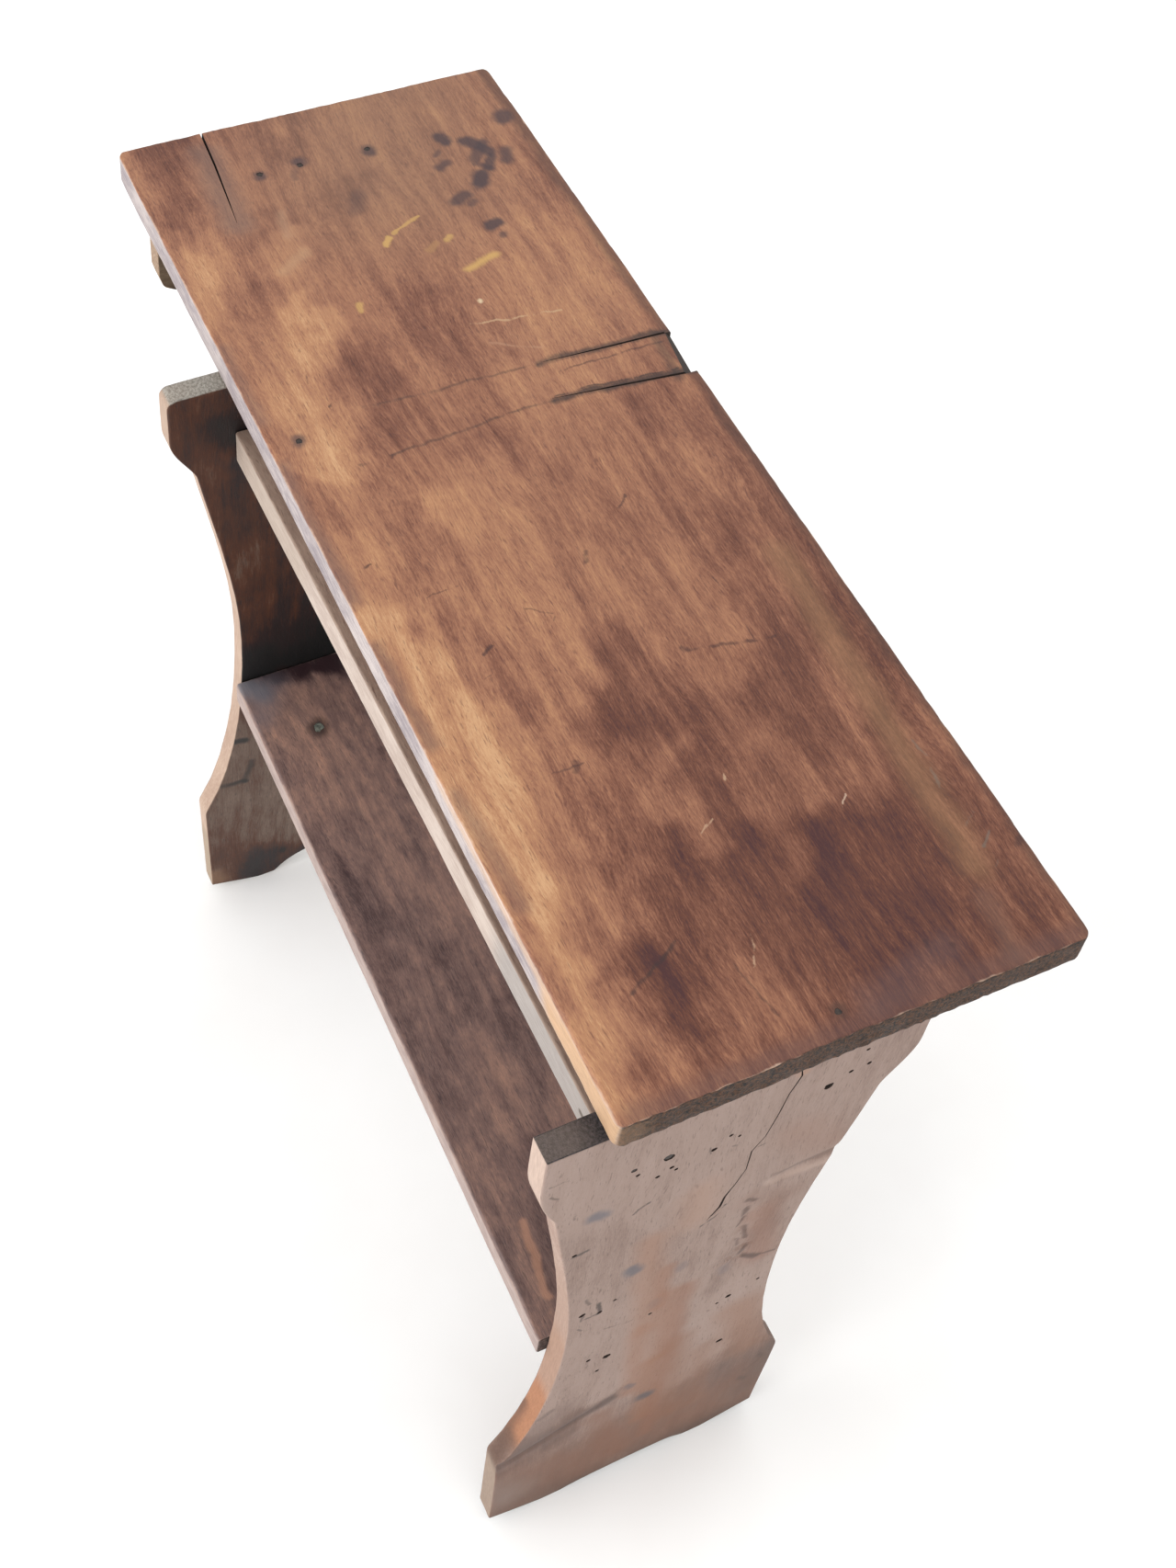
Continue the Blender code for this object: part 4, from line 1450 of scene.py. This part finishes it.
NEAR_WOOD = WoodFinish(
    name="near_end_wood",
    grain=Grain.UPRIGHT,
    tones=((0.0, "#5a4238"), (0.25, "#7b5e51"), (0.5, "#a0877b"), (0.7, "#ab9388"), (1.0, "#b8a296")),
    bare="#c9ab98",
    edges=("#b08f80", "#cdb0a0"),
    ends=("#1c1719", "#5c5254"),
    light=1.22,
    edge_light=1.5,
    end_light=1.6,
    sheen=0.01,
    bare_reach_mm=-0.6,
    clouds=0.2,
    mottle=0.22,
    figure=0.14,
    streak=0.14,
    fibre=0.12,
    pore_colour="#5f463b",
    pore_strength=0.45,
    roughness=0.62,
    patches=patches_on(
        on_near,
        (-130, 60, 50, 55, 42, -0.32),
        (-122, 30, 45, 10, 22, -0.14),
        # Painted shadow: darker band along the gouge above the front foot.
        (-120, 102, -70, 128, 11, -0.28),
        (20, 95, 48, 60, 22, -0.12),
        (20, 150, 40, 100, 14, -0.12),
        (-130, 470, -100, 430, 20, 0.08),
        (-10, 250, 5, 330, 10, -0.10),
    ),
    marks=marks_on(
        on_near,
        (-124, 46, 46, 40, 34, 0.95, "#84583f", 0.55),
        (-120, 12, 48, 10, 13, 0.9, "#684734", 0.5),
        (-66, 345, -54, 225, 8, 0.95, "#9c6846", 0.42),
        (-52, 300, -49, 250, 4, 0.9, "#935d3c", 0.4),
        (-44, 262, -38, 170, 7, 0.95, "#95603f", 0.5),
        (-56, 225, -50, 130, 6, 0.95, "#996443", 0.45),
        (-42, 165, -36, 75, 7, 0.95, "#915c39", 0.6),
        (-28, 180, -18, 60, 9, 0.95, "#855536", 0.55),
        (-66, 110, -46, 30, 9, 0.95, "#80533a", 0.55),
        (-88, 70, -70, 20, 8, 0.95, "#7d543e", 0.45),
        (-8, 150, 0, 60, 7, 0.95, "#8a5a3c", 0.4),
        (8, 190, 24, 120, 13, 0.9, "#93674d", 0.55),
        (-34, 262, -29, 40, 5, 0.95, "#8a5433", 0.45),
        (0, 405, 24, 374, 12, 0.95, "#95705e", 0.4),
        (-14, 345, 8, 330, 8, 0.95, "#8c6a5a", 0.4),
        (-46, 380, -44, 350, 10, 0.95, "#b08a74", 0.4),
        (30, 62, 33, 56, 2.0, 0.8, "#4d382c", 0.6),
        (37, 90, 40, 84, 1.6, 0.8, "#4d382c", 0.6),
        (-96, 283, -95, 278, 0.9, 0.6, "#40302a", 0.7),
        (-95, 268, -93, 264, 0.8, 0.6, "#40302a", 0.6),
        (-114, 418, -113, 416, 1.2, 0.6, "#40302a", 0.7),
        (-35, 419, -33, 417, 0.9, 0.6, "#40302a", 0.7),
        (-49, 428, -47, 420, 0.6, 0.6, "#4a382f", 0.6),
        (-106, 152, -100, 158, 2.0, 0.8, "#5a443a", 0.5),
        (-18, 407, -26, 406, 0.5, 0.6, "#4a382f", 0.7),
        (-2, 320, 6, 262, 8, 0.9, "#8f624c", 0.5),
        # Painted shadow of the gouge: a dark line along it and a darker band above it (this row and the next).
        (-128, 95, -62, 133, 4, 0.8, "#54403a", 0.75),
        (-130, 100, -92, 150, 9, 0.9, "#7b6258", 0.5),
        (-136, 60, -118, 40, 16, 0.9, "#8a786e", 0.5),
        (38, 40, 50, 90, 12, 0.9, "#5f4a40", 0.5),
        (-70, 0, 50, 4, 8, 0.9, "#513a2e", 0.6),
        (-125, 6, -70, 0, 5, 0.9, "#5a463c", 0.5),
        (-102, 404, -98, 402, 4.5, 0.7, "#626069", 0.75),
        (-73, 319, -71, 315, 4.5, 0.7, "#5c5a62", 0.8),
        (-44, 294, -43, 292, 3.5, 0.8, "#77696a", 0.5),
        (-15, 265, -14, 260, 3.5, 0.8, "#77696a", 0.5),
        (-41, 112, -38, 111, 5, 0.7, "#4d464a", 0.85),
        (-52, 141, -50, 139, 3.2, 0.7, "#5c5358", 0.6),
        (-53, 258, -52, 255, 4, 0.8, "#84655a", 0.5),
        (-4, 363, 30, 361, 2.2, 0.8, "#6d5448", 0.6),
        (-6, 356, 26, 353, 3.0, 0.8, "#c0a596", 0.5),
        (-17, 344, -12, 340, 1.6, 0.7, "#5b4035", 0.75),
        (-14, 333, -13, 326, 2.0, 0.7, "#5b4035", 0.75),
        (-12, 320, -15, 314, 1.2, 0.7, "#5b4035", 0.75),
        (-10, 310, -9, 296, 1.6, 0.8, "#5b4035", 0.75),
        (-14, 299, -12, 290, 1.0, 0.7, "#5b4035", 0.6),
        (-5, 284, -7, 276, 1.6, 0.7, "#52382e", 0.8),
        (-3, 270, 4, 262, 2.4, 0.7, "#52382e", 0.85),
        (6, 262, 14, 259, 1.2, 0.7, "#52382e", 0.6),
        (-88, 292, -86, 278, 1.2, 0.6, "#3c2c26", 0.85),
        (-93, 279, -86, 278, 1.1, 0.6, "#3c2c26", 0.7),
        (-80, 389, -74, 394, 0.9, 0.6, "#4a382f", 0.8),
        (-128, 457, -120, 457, 0.8, 0.6, "#4a382f", 0.7),
        (-126, 447, -122, 441, 0.7, 0.6, "#4a382f", 0.6),
        (-114, 420, -113, 412, 0.8, 0.6, "#4a382f", 0.6),
        (-108, 368, -102, 368, 1.4, 0.6, "#40302a", 0.8),
        (-96, 304, -93, 296, 1.0, 0.7, "#4a382f", 0.6),
        (-80, 252, -64, 247, 0.8, 0.7, "#6b5248", 0.6),
        (-36, 345, -28, 352, 1.0, 0.6, "#3c2c26", 0.8),
        (-38, 338, -30, 345, 1.0, 0.6, "#3c2c26", 0.7),
        (-12, 476, -10, 468, 3.0, 0.8, "#b58a70", 0.6),
        (30, 72, 38, 80, 1.4, 0.7, "#4a382f", 0.6),
    ),
    edge_marks=(
        Mark((308, -128, 482), (308, -128, 455), 16, 0.5, "#e0c5b4", 0.8),
        Mark((308, -101, 330), (308, -100, 250), 14, 0.8, "#bb9a88", 0.8),
        Mark((308, -101, 240), (308, -103, 195), 14, 0.8, "#b8927c", 0.9),
        Mark((308, -107, 170), (308, -117, 130), 14, 0.7, "#bc7f58", 0.9),
        Mark((301, -110, 150), (303, -124, 112), 5, 0.8, "#6b4c3f", 0.8),
        Mark((308, -122, 118), (308, -127, 96), 9, 0.8, "#6a4d40", 0.9),
        Mark((308, -127, 80), (308, -124, 8), 14, 0.6, "#a8927f", 0.8),
        Mark((308, 12, 250), (308, 48, 5), 40, 0.6, "#76584a", 0.9),
        Mark((308, -90, 4), (308, 45, 4), 12, 0.6, "#54402f", 0.9),
    ),
)
FAR_WOOD = WoodFinish(
    name="far_end_wood",
    grain=Grain.UPRIGHT,
    # Dark tones: partly the wood's own dark colour, partly painted shade for the inside of the stool under the top.
    tones=((0.0, "#110906"), (0.25, "#2b170e"), (0.5, "#4f2f20"), (0.7, "#665449"), (1.0, "#8a7468")),
    bare="#d8b498",
    edges=("#c9a893", "#e0c2ac"),
    # Painted reflection: the pale grey end grain stands in for the glare of the white room on the board's head.
    ends=("#8d867c", "#c9c3b8"),
    light=1.0,
    edge_light=1.55,
    end_light=1.4,
    sheen=0.012,
    bare_reach_mm=-0.2,
    raggedness_mm=3.0,
    clouds=0.2,
    mottle=0.3,
    figure=0.2,
    streak=0.16,
    fibre=0.12,
    pore_colour="#20140e",
    pore_strength=0.4,
    roughness=0.6,
    offset=(700.0, 210.0, 50.0),
    patches=patches_on(
        on_far,
        # Painted shade: darker above the shelf and towards the top than below the shelf. The first two rows lighten
        # the part below the shelf; the third, fourth, fifth and seventh darken the part above it.
        (-132, 190, 50, 190, 30, 0.12),
        (-132, 130, 50, 20, 75, 0.22),
        (-40, 470, -40, 270, 60, -0.15),
        (-100, 234, 30, 236, 22, -0.42),
        (-90, 262, 30, 300, 28, -0.16),
        (-96, 350, -80, 300, 14, 0.10),
        (-98, 448, -60, 440, 14, -0.34),
        (-90, 16, -60, 22, 12, -0.36),
        (-118, 40, -80, 30, 18, -0.10),
    ),
    marks=marks_on(
        on_far,
        (-104, 167, -97, 165, 3.0, 0.5, "#140e0b", 0.9),
        (-113, 122, -98, 120, 2.0, 0.8, "#231813", 0.8),
        (-98, 120, -92, 140, 2.0, 0.8, "#231813", 0.7),
        (-74, 24, -72, 23, 2.2, 0.6, "#140e0b", 0.8),
        (-124, 20, -120, 12, 6, 0.9, "#8a6a50", 0.5),
    ),
    edge_marks=(
        Mark((-147, -128, 482), (-147, -128, 455), 12, 0.6, "#c9ad99", 0.7),
        Mark((-147, -127, 60), (-147, -122, 6), 12, 0.6, "#b7a48c", 0.7),
    ),
)
CLEAT_WOOD = WoodFinish(
    name="cleat_wood",
    grain=Grain.CROSSWAYS,
    tones=((0.0, "#2e2519"), (0.5, "#57493a"), (1.0, "#7d6d58")),
    bare="#a08468",
    edges=("#4c3f31", "#6e5e4a"),
    ends=("#a98a70", "#c9ab90"),
    light=0.75,
    edge_light=0.8,
    end_light=1.4,
    mottle=0.3,
    figure=0.45,
    offset=(90.0, 500.0, 10.0),
)
SHELF_WOOD = WoodFinish(
    name="shelf_wood",
    grain=Grain.LONGWAYS,
    tones=((0.0, "#33282a"), (0.25, "#4b3c3b"), (0.5, "#6a5550"), (0.75, "#876a5e"), (1.0, "#a57d69")),
    bare="#c8aea2",
    edges=("#b09a94", "#cfb9b0"),
    ends=("#2e2320", "#5b4a44"),
    light=0.8,
    edge_light=1.5,
    end_light=0.9,
    sheen=0.012,
    bare_reach_mm=0.4,
    raggedness_mm=4.5,
    clouds=0.38,
    mottle=0.34,
    figure=0.28,
    streak=0.2,
    fibre=0.26,
    mottle_size=2.6,
    pore_colour="#2c2224",
    roughness=0.45,
    offset=(55.0, 330.0, 20.0),
    patches=patches_on(
        on_shelf,
        # Painted shade: the first two rows darken the shelf in the corner along the far end board.
        (-138, -90, -138, 25, 14, -0.55),
        (-138, -40, -110, 20, 16, -0.30),
        (230, -60, 300, -80, 20, -0.12),
        (-20, -80, 40, -86, 10, -0.14),
        (150, -70, 190, -70, 12, 0.12),
    ),
    marks=marks_on(
        on_shelf,
        (-136, -98, -128, -90, 8, 0.8, "#63656c", 0.7),
        (-132, -80, -110, -96, 8, 0.9, "#5d5a60", 0.4),
        (-90.5, -67.25, -89.5, -67.25, 6.6, 0.5, "#231c1d", 0.75),
        (240, -88, 282, -92, 2.0, 0.7, "#a67c66", 0.6),
    ),
)
RAIL_WOOD = WoodFinish(
    name="rail_wood",
    grain=Grain.LONGWAYS,
    tones=((0.0, "#5b4a42"), (0.5, "#837064"), (1.0, "#a38f80")),
    bare="#d9c4b6",
    edges=("#c9b3a6", "#e8d6c9"),
    ends=("#4c3c31", "#7b6a58"),
    light=0.8,
    edge_light=1.57,
    end_light=1.0,
    bare_reach_mm=-0.4,
    raggedness_mm=3.0,
    roughness=0.7,
    offset=(400.0, 90.0, 30.0),
    edge_marks=(
        Mark((215, -96, 437), (305, -96, 437), 22, 0.5, "#b1aaa6", 0.75),
        Mark((-140, -96, 437), (-60, -96, 437), 22, 0.6, "#c4b09f", 0.6),
        Mark((281, -96, 436), (287, -96, 435), 1.6, 0.5, "#574536", 0.8),
        Mark((296, -96, 430), (301, -96, 428), 3.0, 0.7, "#8a8078", 0.8),
    ),
)


# ---------------------------------------------------------------- the boards themselves


@dataclass
class TopBoard(Board):
    """The seat plank: its front arris ragged, its near end rough, notched, kerfed and split."""

    NOTCH: ClassVar[tuple[float, float]] = (-90 * MM, -35 * MM)
    NAIL_PITS: ClassVar[tuple[Triple, ...]] = (
        (-274, -29.3, 2.6), (-274, -5.2, 2.6), (-274, 35.8, 2.6), (-75, -84.2, 2.5), (308, 3.8, 2.4),
    )

    def __post_init__(self) -> None:
        """Measure the node, and bridge its notch so that the outline runs straight past it."""
        super().__post_init__()
        notch = (self.samples > self.NOTCH[0]) & (self.samples < self.NOTCH[1])
        self.reach_high = np.interp(self.samples, self.samples[~notch], self.reach_high[~notch])

    def arris_at(self, points: np.ndarray, side: str, upper: bool) -> np.ndarray:
        """Radius of the arris: largest and most ragged at the front above."""
        steady = self.field_of.at(points, 45 * MM, 2)
        chips = np.clip(self.field_of.at(points + 3.1, 7 * MM, 2) - 0.25, 0, 1)
        if side == "low" and upper:
            near = np.clip((points[:, 0] - 200 * MM) / (100 * MM), 0, 1)
            return MM * np.clip(1.5 + 1.3 * near + 0.7 * steady + 3.0 * chips, 0.6, 4.6)
        if side == "end":
            return MM * np.clip(1.1 + 0.5 * steady + 1.2 * chips, 0.5, 3.0)
        return MM * np.clip(1.4 + 0.5 * steady + 0.8 * chips, 0.6, 3.0)

    def edge_relief(self, points: np.ndarray, on_end: np.ndarray) -> np.ndarray:
        """Sawn edges, much rougher on the ends."""
        rough = self.field_of.at(points, 2.6 * MM, 3)
        wave = self.field_of.at(points, 35 * MM)
        return MM * np.clip(0.4 + 0.2 * wave + rough * (0.1 + 0.45 * on_end), 0.02, 1.6)

    def cuts(self) -> list[Cuts]:
        """The notch and its kerfs, the split at the far end, and pits over the nails."""
        rear = np.interp(-62 * MM, self.samples, self.reach_high) / MM
        notch = Cuts((0, 0, 1), 3)
        notch.block(
            [(-78.3, rear - 6.0, 502), (-47, rear - 10.3, 502), (-47, rear + 16, 502), (-78.3, rear + 16, 502)],
            [(-77.6, rear + 14, 481), (-46, rear + 10, 481), (-46, rear + 16, 481), (-77.6, rear + 16, 481)],
        )
        cuts = Cuts((0, 0, 1), 5)
        cuts.groove([on_top(-78.6, rear - 4), on_top(-80, rear - 40), on_top(-82, 55)], [1.5, 1.1, 0.2], 1.4)
        cuts.groove([on_top(-47.6, rear - 7), on_top(-52, rear - 45), on_top(-56, 48)], [1.6, 1.2, 0.2], 1.4)
        split = [on_top(-322, -47.5), on_top(-290, -50), on_top(-262, -53), on_top(-240, -55.5)]
        cuts.groove(split, [1.1, 0.9, 0.6, 0.15], 6.0)
        for x, y, radius in self.NAIL_PITS:
            cuts.pit(on_top(x, y), radius, 0.9)
        return [notch, cuts]


@dataclass
class EndBoard(Board):
    """An upright end board, with its waist, its flared foot and the arch between its knees.

    Attributes:
        inner_upper: True where the face that gets the painted shade is the upper one.
        painted_side_shade: painted shade, how much lighter that face is painted than the finish.
        round_head: radius of the rounded front of its head.
    """

    inner_upper: bool = True
    painted_side_shade: float = 0.0
    round_head: float = 0.0

    FADE: ClassVar[float] = 60 * MM

    def __post_init__(self) -> None:
        """Measure the node's sides and the arch below it, and round off the front of its head."""
        super().__post_init__()
        across = np.linspace(self.low[1] + 0.3 * MM, self.high[1] - 0.3 * MM, 180)
        inner = np.abs(across - (self.low[1] + self.high[1]) / 2) < 85 * MM
        below, _ = Outline(self.node, 1, 2).reach(across[inner])
        self.base_across, self.base = across[inner], below
        foot = self.samples < 10 * MM
        self.reach_low[foot] = self.reach_low[~foot][0]
        self.reach_high[foot] = self.reach_high[~foot][0]
        if self.round_head:
            below_top = np.clip(self.round_head - (self.high[2] - self.samples), 0, self.round_head)
            self.reach_low += self.round_head - np.sqrt(self.round_head**2 - below_top**2)

    def place(self, share_along: np.ndarray, share_across: np.ndarray) -> tuple[np.ndarray, np.ndarray]:
        """Places up and across, with the lowest rows bent to the arch and the knees."""
        along, across = super().place(share_along, share_across)
        base = np.interp(across, self.base_across, self.base)
        return along + base * np.clip(1 - along / self.FADE, 0, 1), across

    def rim_distance(self, points: np.ndarray) -> np.ndarray:
        """How far each place is from the outline, the arch included."""
        base = np.interp(points[:, 1], self.base_across, self.base)
        return np.minimum(super().rim_distance(points), points[:, 2] - base)

    def tone_and_shade_shift(self, points: np.ndarray, normals: np.ndarray) -> np.ndarray:
        """Painted shade: one face of the board is painted darker or lighter than the other, as if it got less or more
        light.
        """
        facing = normals[:, 0] if self.inner_upper else -normals[:, 0]
        return self.painted_side_shade * np.clip(facing, 0, 1)


@dataclass
class NearBoard(EndBoard):
    """The end board that faces out of the near end, pitted, cracked and gouged."""

    HOLES: ClassVar[tuple[Triple, ...]] = (
        (-70.2, 437.0, 3.0), (-87.2, 438.5, 1.8), (-84.5, 431.5, 1.3), (-67.2, 424.5, 1.4), (-64.5, 420.5, 1.2),
        (-73.5, 420.5, 1.3), (7.8, 442.0, 2.8), (17.8, 448.0, 1.5), (26.8, 449.0, 1.4), (22.8, 464.5, 1.2),
        (-39.2, 432.5, 1.3), (-46.2, 424.5, 1.8), (-34.2, 428.0, 1.1), (-95.2, 285.0, 2.0), (-85.2, 279.0, 1.5),
        (-78.0, 287.0, 1.2), (-73.2, 208.0, 2.6), (-84.2, 213.8, 1.5), (-76.8, 191.5, 1.4), (1.8, 149.0, 2.1),
        (-4.2, 217.5, 2.0), (-10.2, 214.0, 1.2), (-53.2, 244.0, 1.3), (12.0, 224.5, 1.2), (-108.0, 368.0, 1.4),
    )

    def cuts(self) -> list[Cuts]:
        """Nail holes, worm holes and the long crack."""
        cuts = Cuts((1, 0, 0), 9)
        for y, z, radius in self.HOLES:
            cuts.pit(on_near(y, z), radius, 3.0)
        crack = [
            (-12, 474), (-10.5, 466), (-14, 452), (-16, 434), (-19, 415), (-24, 404), (-23.5, 385), (-27, 372),
            (-30.5, 362), (-31.5, 352), (-37, 341),
        ]
        widths = [0.4, 0.9, 0.6, 0.6, 0.5, 0.7, 0.5, 0.6, 1.2, 1.5, 0.3]
        cuts.groove([on_near(y, z) for y, z in crack], widths, 2.2)
        return [cuts]

    def relief(self, points: np.ndarray, upper: bool) -> np.ndarray:
        """Uneven face with the gouge above the front foot and the dent at the rear of the waist."""
        height = super().relief(points, upper)
        if not upper:
            return height
        across, up = points[:, 1] / MM, points[:, 2] / MM
        run = np.clip((across + 128) / 66, 0, 1)
        off = up - (97 + 38 * run**1.2)
        gouge = np.exp(-((off / 3.5) ** 2)) * np.clip(1.4 - 1.2 * run, 0, 1) * (across < -58)
        hollow = np.exp(-(((off + 9) / 9.0) ** 2)) * np.clip(1.1 - run, 0, 1)
        dent_line = 361 + 0.18 * (across - 20)
        dent = np.exp(-(((up - dent_line) / 4.0) ** 2)) * np.clip((across + 12) / 15, 0, 1)
        rough = np.exp(-(((across + 10) / 7.0) ** 2)) * np.clip((345 - up) / 10, 0, 1) * np.clip((up - 258) / 10, 0, 1)
        chips = np.clip(self.field_of.at(points, 5 * MM, 3), 0, 1)
        return height - MM * (1.6 * gouge + 0.7 * hollow + 1.0 * dent + 1.4 * rough * chips)


@dataclass
class Shelf(Board):
    """The shelf board, with its clout set in a pit."""

    def cuts(self) -> list[Cuts]:
        """The pit round the clout."""
        cuts = Cuts((0, 0, 1), 7)
        cuts.pit(on_shelf(-90, -67.25), 4.6, 1.1)
        return [cuts]

    def arris_at(self, points: np.ndarray, side: str, upper: bool) -> np.ndarray:
        """Radius of the arris: worn wide at the front above."""
        steady = self.field_of.at(points, 30 * MM, 2)
        if side == "low" and upper:
            return MM * np.clip(1.9 + 1.0 * steady, 0.8, 3.6)
        return MM * np.clip(1.2 + 0.4 * steady, 0.6, 2.0)


@dataclass
class Nail:
    """One nail that stands for its frame node, with a worn, slightly domed head.

    Attributes:
        node: the frame node.
        outward: which way its head faces.
        finish: its iron.
    """

    node: str
    outward: Triple
    finish: bpy.types.Material

    SEGMENTS: ClassVar[int] = 14
    SHARP_DEGREES: ClassVar[float] = 50.0
    HEAD: ClassVar[tuple[tuple[float, float], ...]] = (
        (0.45, 0.02), (0.85, 0.1), (1.0, 0.28), (0.97, 0.85), (0.55, 0.95),
    )
    SHANK: ClassVar[tuple[tuple[float, float], ...]] = ((0.52, 0.88), (0.2, 0.98))

    def build(self, seed: int) -> None:
        """Turn the nail about its axis and roughen it.

        Args:
            seed: picks how uneven it is.
        """
        rng = np.random.default_rng(seed)
        low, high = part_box(self.node)
        outward = Vector(self.outward)
        axis = max(range(3), key=lambda i: abs(outward[i]))
        half = (high - low) / 2
        radius = max(half[i] for i in range(3) if i != axis)
        length = half[axis] * 2
        top = (low + high) / 2 + outward * half[axis]
        rings = [(radius * share, -depth_mm * MM) for share, depth_mm in self.HEAD]
        rings += [(radius * share, -length * down) for share, down in self.SHANK]
        form = bmesh.new()
        turn = Matrix.Translation(top) @ outward.to_track_quat("Z", "Y").to_matrix().to_4x4()
        loops = []
        for ring, (wide, deep) in enumerate(rings):
            uneven = rng.uniform(0.94, 1.0, self.SEGMENTS) if ring < 4 else np.ones(self.SEGMENTS)
            angles = np.arange(self.SEGMENTS) * 2 * np.pi / self.SEGMENTS
            loops.append(
                [
                    form.verts.new(turn @ Vector((wide * part * np.cos(a), wide * part * np.sin(a), deep)))
                    for a, part in zip(angles, uneven)
                ]
            )
        for first, second in zip(loops, loops[1:]):
            for i in range(self.SEGMENTS):
                j = (i + 1) % self.SEGMENTS
                form.faces.new((first[i], second[i], second[j], first[j]))
        form.faces.new(loops[0])
        form.faces.new(reversed(loops[-1]))
        bmesh.ops.recalc_face_normals(form, faces=form.faces)
        mesh = bpy.data.meshes.new(self.node + "_worn")
        form.to_mesh(mesh)
        form.free()
        mesh.materials.append(self.finish)
        mesh.shade_smooth()
        mesh.set_sharp_from_angle(angle=radians(self.SHARP_DEGREES))
        nail = bpy.data.objects.new(self.node + "_worn", mesh)
        bpy.context.scene.collection.objects.link(nail)
        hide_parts(self.node)
        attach(nail, "root")


# ---------------------------------------------------------------- studio


@dataclass
class Studio:
    """Plain pale floor, soft window light from the front, and the camera above the near front corner.

    Attributes:
        floor_size: side of the floor.
        sky_strength: how bright the sky is.
        window_power: the window's watts.
        window_size: its side.
        window_place: where it hangs.
        window_aim: what it points at.
        lens_mm: the camera's focal length on a 36 mm frame.
        shift: how far the camera's frame is moved sideways and up.
        camera_place: where the camera stands.
        camera_forward: which way it looks.
        camera_up: which way is up in its frame.
    """

    floor_size: float = 24.0
    sky_strength: float = 1.1
    window_power: float = 52.0
    window_size: float = 2.6
    window_place: Triple = (0.2, -2.6, 1.5)
    window_aim: Triple = (0.0, 0.0, 0.25)
    lens_mm: float = 49.41
    shift: tuple[float, float] = (0.0616, -0.1222)
    camera_place: Triple = (0.62079, -0.35478, 1.28674)
    camera_forward: Triple = (-0.55783226, 0.31193306, -0.76910398)
    camera_up: Triple = (-0.71670522, 0.28624493, 0.63592253)

    def build(self) -> None:
        """Lay the floor, light the scene and set the camera."""
        self.lay_floor()
        self.light()
        self.aim()
        bpy.context.scene.view_settings.view_transform = "Standard"
        LOG.info("studio: floor, lights and camera")

    def lay_floor(self) -> None:
        """Flat floor with a barely uneven matt surface."""
        form = bmesh.new()
        bmesh.ops.create_grid(form, x_segments=2, y_segments=2, size=self.floor_size / 2)
        mesh = bpy.data.meshes.new("floor")
        form.to_mesh(mesh)
        form.free()
        floor = bpy.data.objects.new("floor", mesh)
        bpy.context.scene.collection.objects.link(floor)
        floor.location.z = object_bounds()[0][2]
        mesh.materials.append(FLOOR_PAINT.material())
        floor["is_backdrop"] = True

    def light(self) -> None:
        """Even pale sky, and a broad soft window at the front."""
        world = bpy.data.worlds.new("pale_room")
        world.use_nodes = True
        background = world.node_tree.nodes["Background"]
        background.inputs["Color"].default_value = (1.0, 1.0, 1.0, 1.0)
        background.inputs["Strength"].default_value = self.sky_strength
        bpy.context.scene.world = world
        data = bpy.data.lights.new("window", "AREA")
        data.shape = "SQUARE"
        data.size = self.window_size
        data.energy = self.window_power
        window = bpy.data.objects.new("window", data)
        window.location = self.window_place
        run = Vector(self.window_aim) - Vector(self.window_place)
        window.rotation_euler = run.to_track_quat("-Z", "Y").to_euler()
        window.visible_camera = False
        bpy.context.scene.collection.objects.link(window)

    def aim(self) -> None:
        """Camera above the near front corner, tipped a little."""
        data = bpy.data.cameras.new("camera")
        data.lens = self.lens_mm
        data.sensor_width = 36.0
        data.shift_x, data.shift_y = self.shift
        data.clip_start = 0.05
        data.clip_end = 100.0
        camera = bpy.data.objects.new("camera", data)
        forward, up = Vector(self.camera_forward), Vector(self.camera_up)
        side = forward.cross(up)
        turn = Matrix((side, up, -forward)).transposed()
        camera.matrix_world = Matrix.Translation(self.camera_place) @ turn.to_4x4()
        bpy.context.scene.collection.objects.link(camera)
        bpy.context.scene.camera = camera


def outward_of(node: str) -> Triple:
    """Which way a nail's head faces, by its name.

    Args:
        node: the nail's frame node.

    Returns:
        The direction out of its head.
    """
    if node.startswith(("top_", "cleat_")) or node == "shelf_clout":
        return 0.0, 0.0, 1.0
    return (1.0, 0.0, 0.0) if "_near_" in node else (-1.0, 0.0, 0.0)


def main() -> None:
    """Build the boards, the nails and the studio in order."""
    logging.basicConfig(level=logging.INFO, format="%(name)s | %(message)s", stream=sys.stdout)
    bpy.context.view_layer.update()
    cut_lining = CUT_LINING.material()
    boards = (
        TopBoard("top_board", "top_wood", TOP_WOOD, LENGTHWISE, seed=21),
        # Painted shade: the near board's inner face is painted 0.3 darker, the far board's outer face 0.25 lighter
        # than its inner face.
        NearBoard(
            "near_end_board", "end_wood", NEAR_WOOD, UPRIGHT_BOARD, seed=22, inner_upper=False, painted_side_shade=-0.3
        ),
        EndBoard(
            "far_end_board", "end_wood", FAR_WOOD, UPRIGHT_BOARD, seed=23, inner_upper=False, painted_side_shade=0.25,
            round_head=6 * MM,
        ),
        Shelf("shelf_board", "shelf_wood", SHELF_WOOD, LENGTHWISE, seed=24),
        Board("front_rail", "rail_wood", RAIL_WOOD, LENGTHWISE, seed=25),
        Board("rear_rail", "rail_wood", RAIL_WOOD, LENGTHWISE, seed=26),
        Board("cleat", "end_wood", CLEAT_WOOD, CLEAT_AXES, seed=27),
    )
    for board in boards:
        board.build(cut_lining)
    iron, clout_iron = IRON.material(), CLOUT_IRON.material()
    nails = sorted(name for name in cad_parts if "nail" in name or name == "shelf_clout")
    for number, name in enumerate(nails):
        finish = clout_iron if name == "shelf_clout" else iron
        Nail(name, outward_of(name), finish).build(SEED + number)
    LOG.info("nails: %d", len(nails))
    Studio().build()


if __name__ == "__main__":
    main()
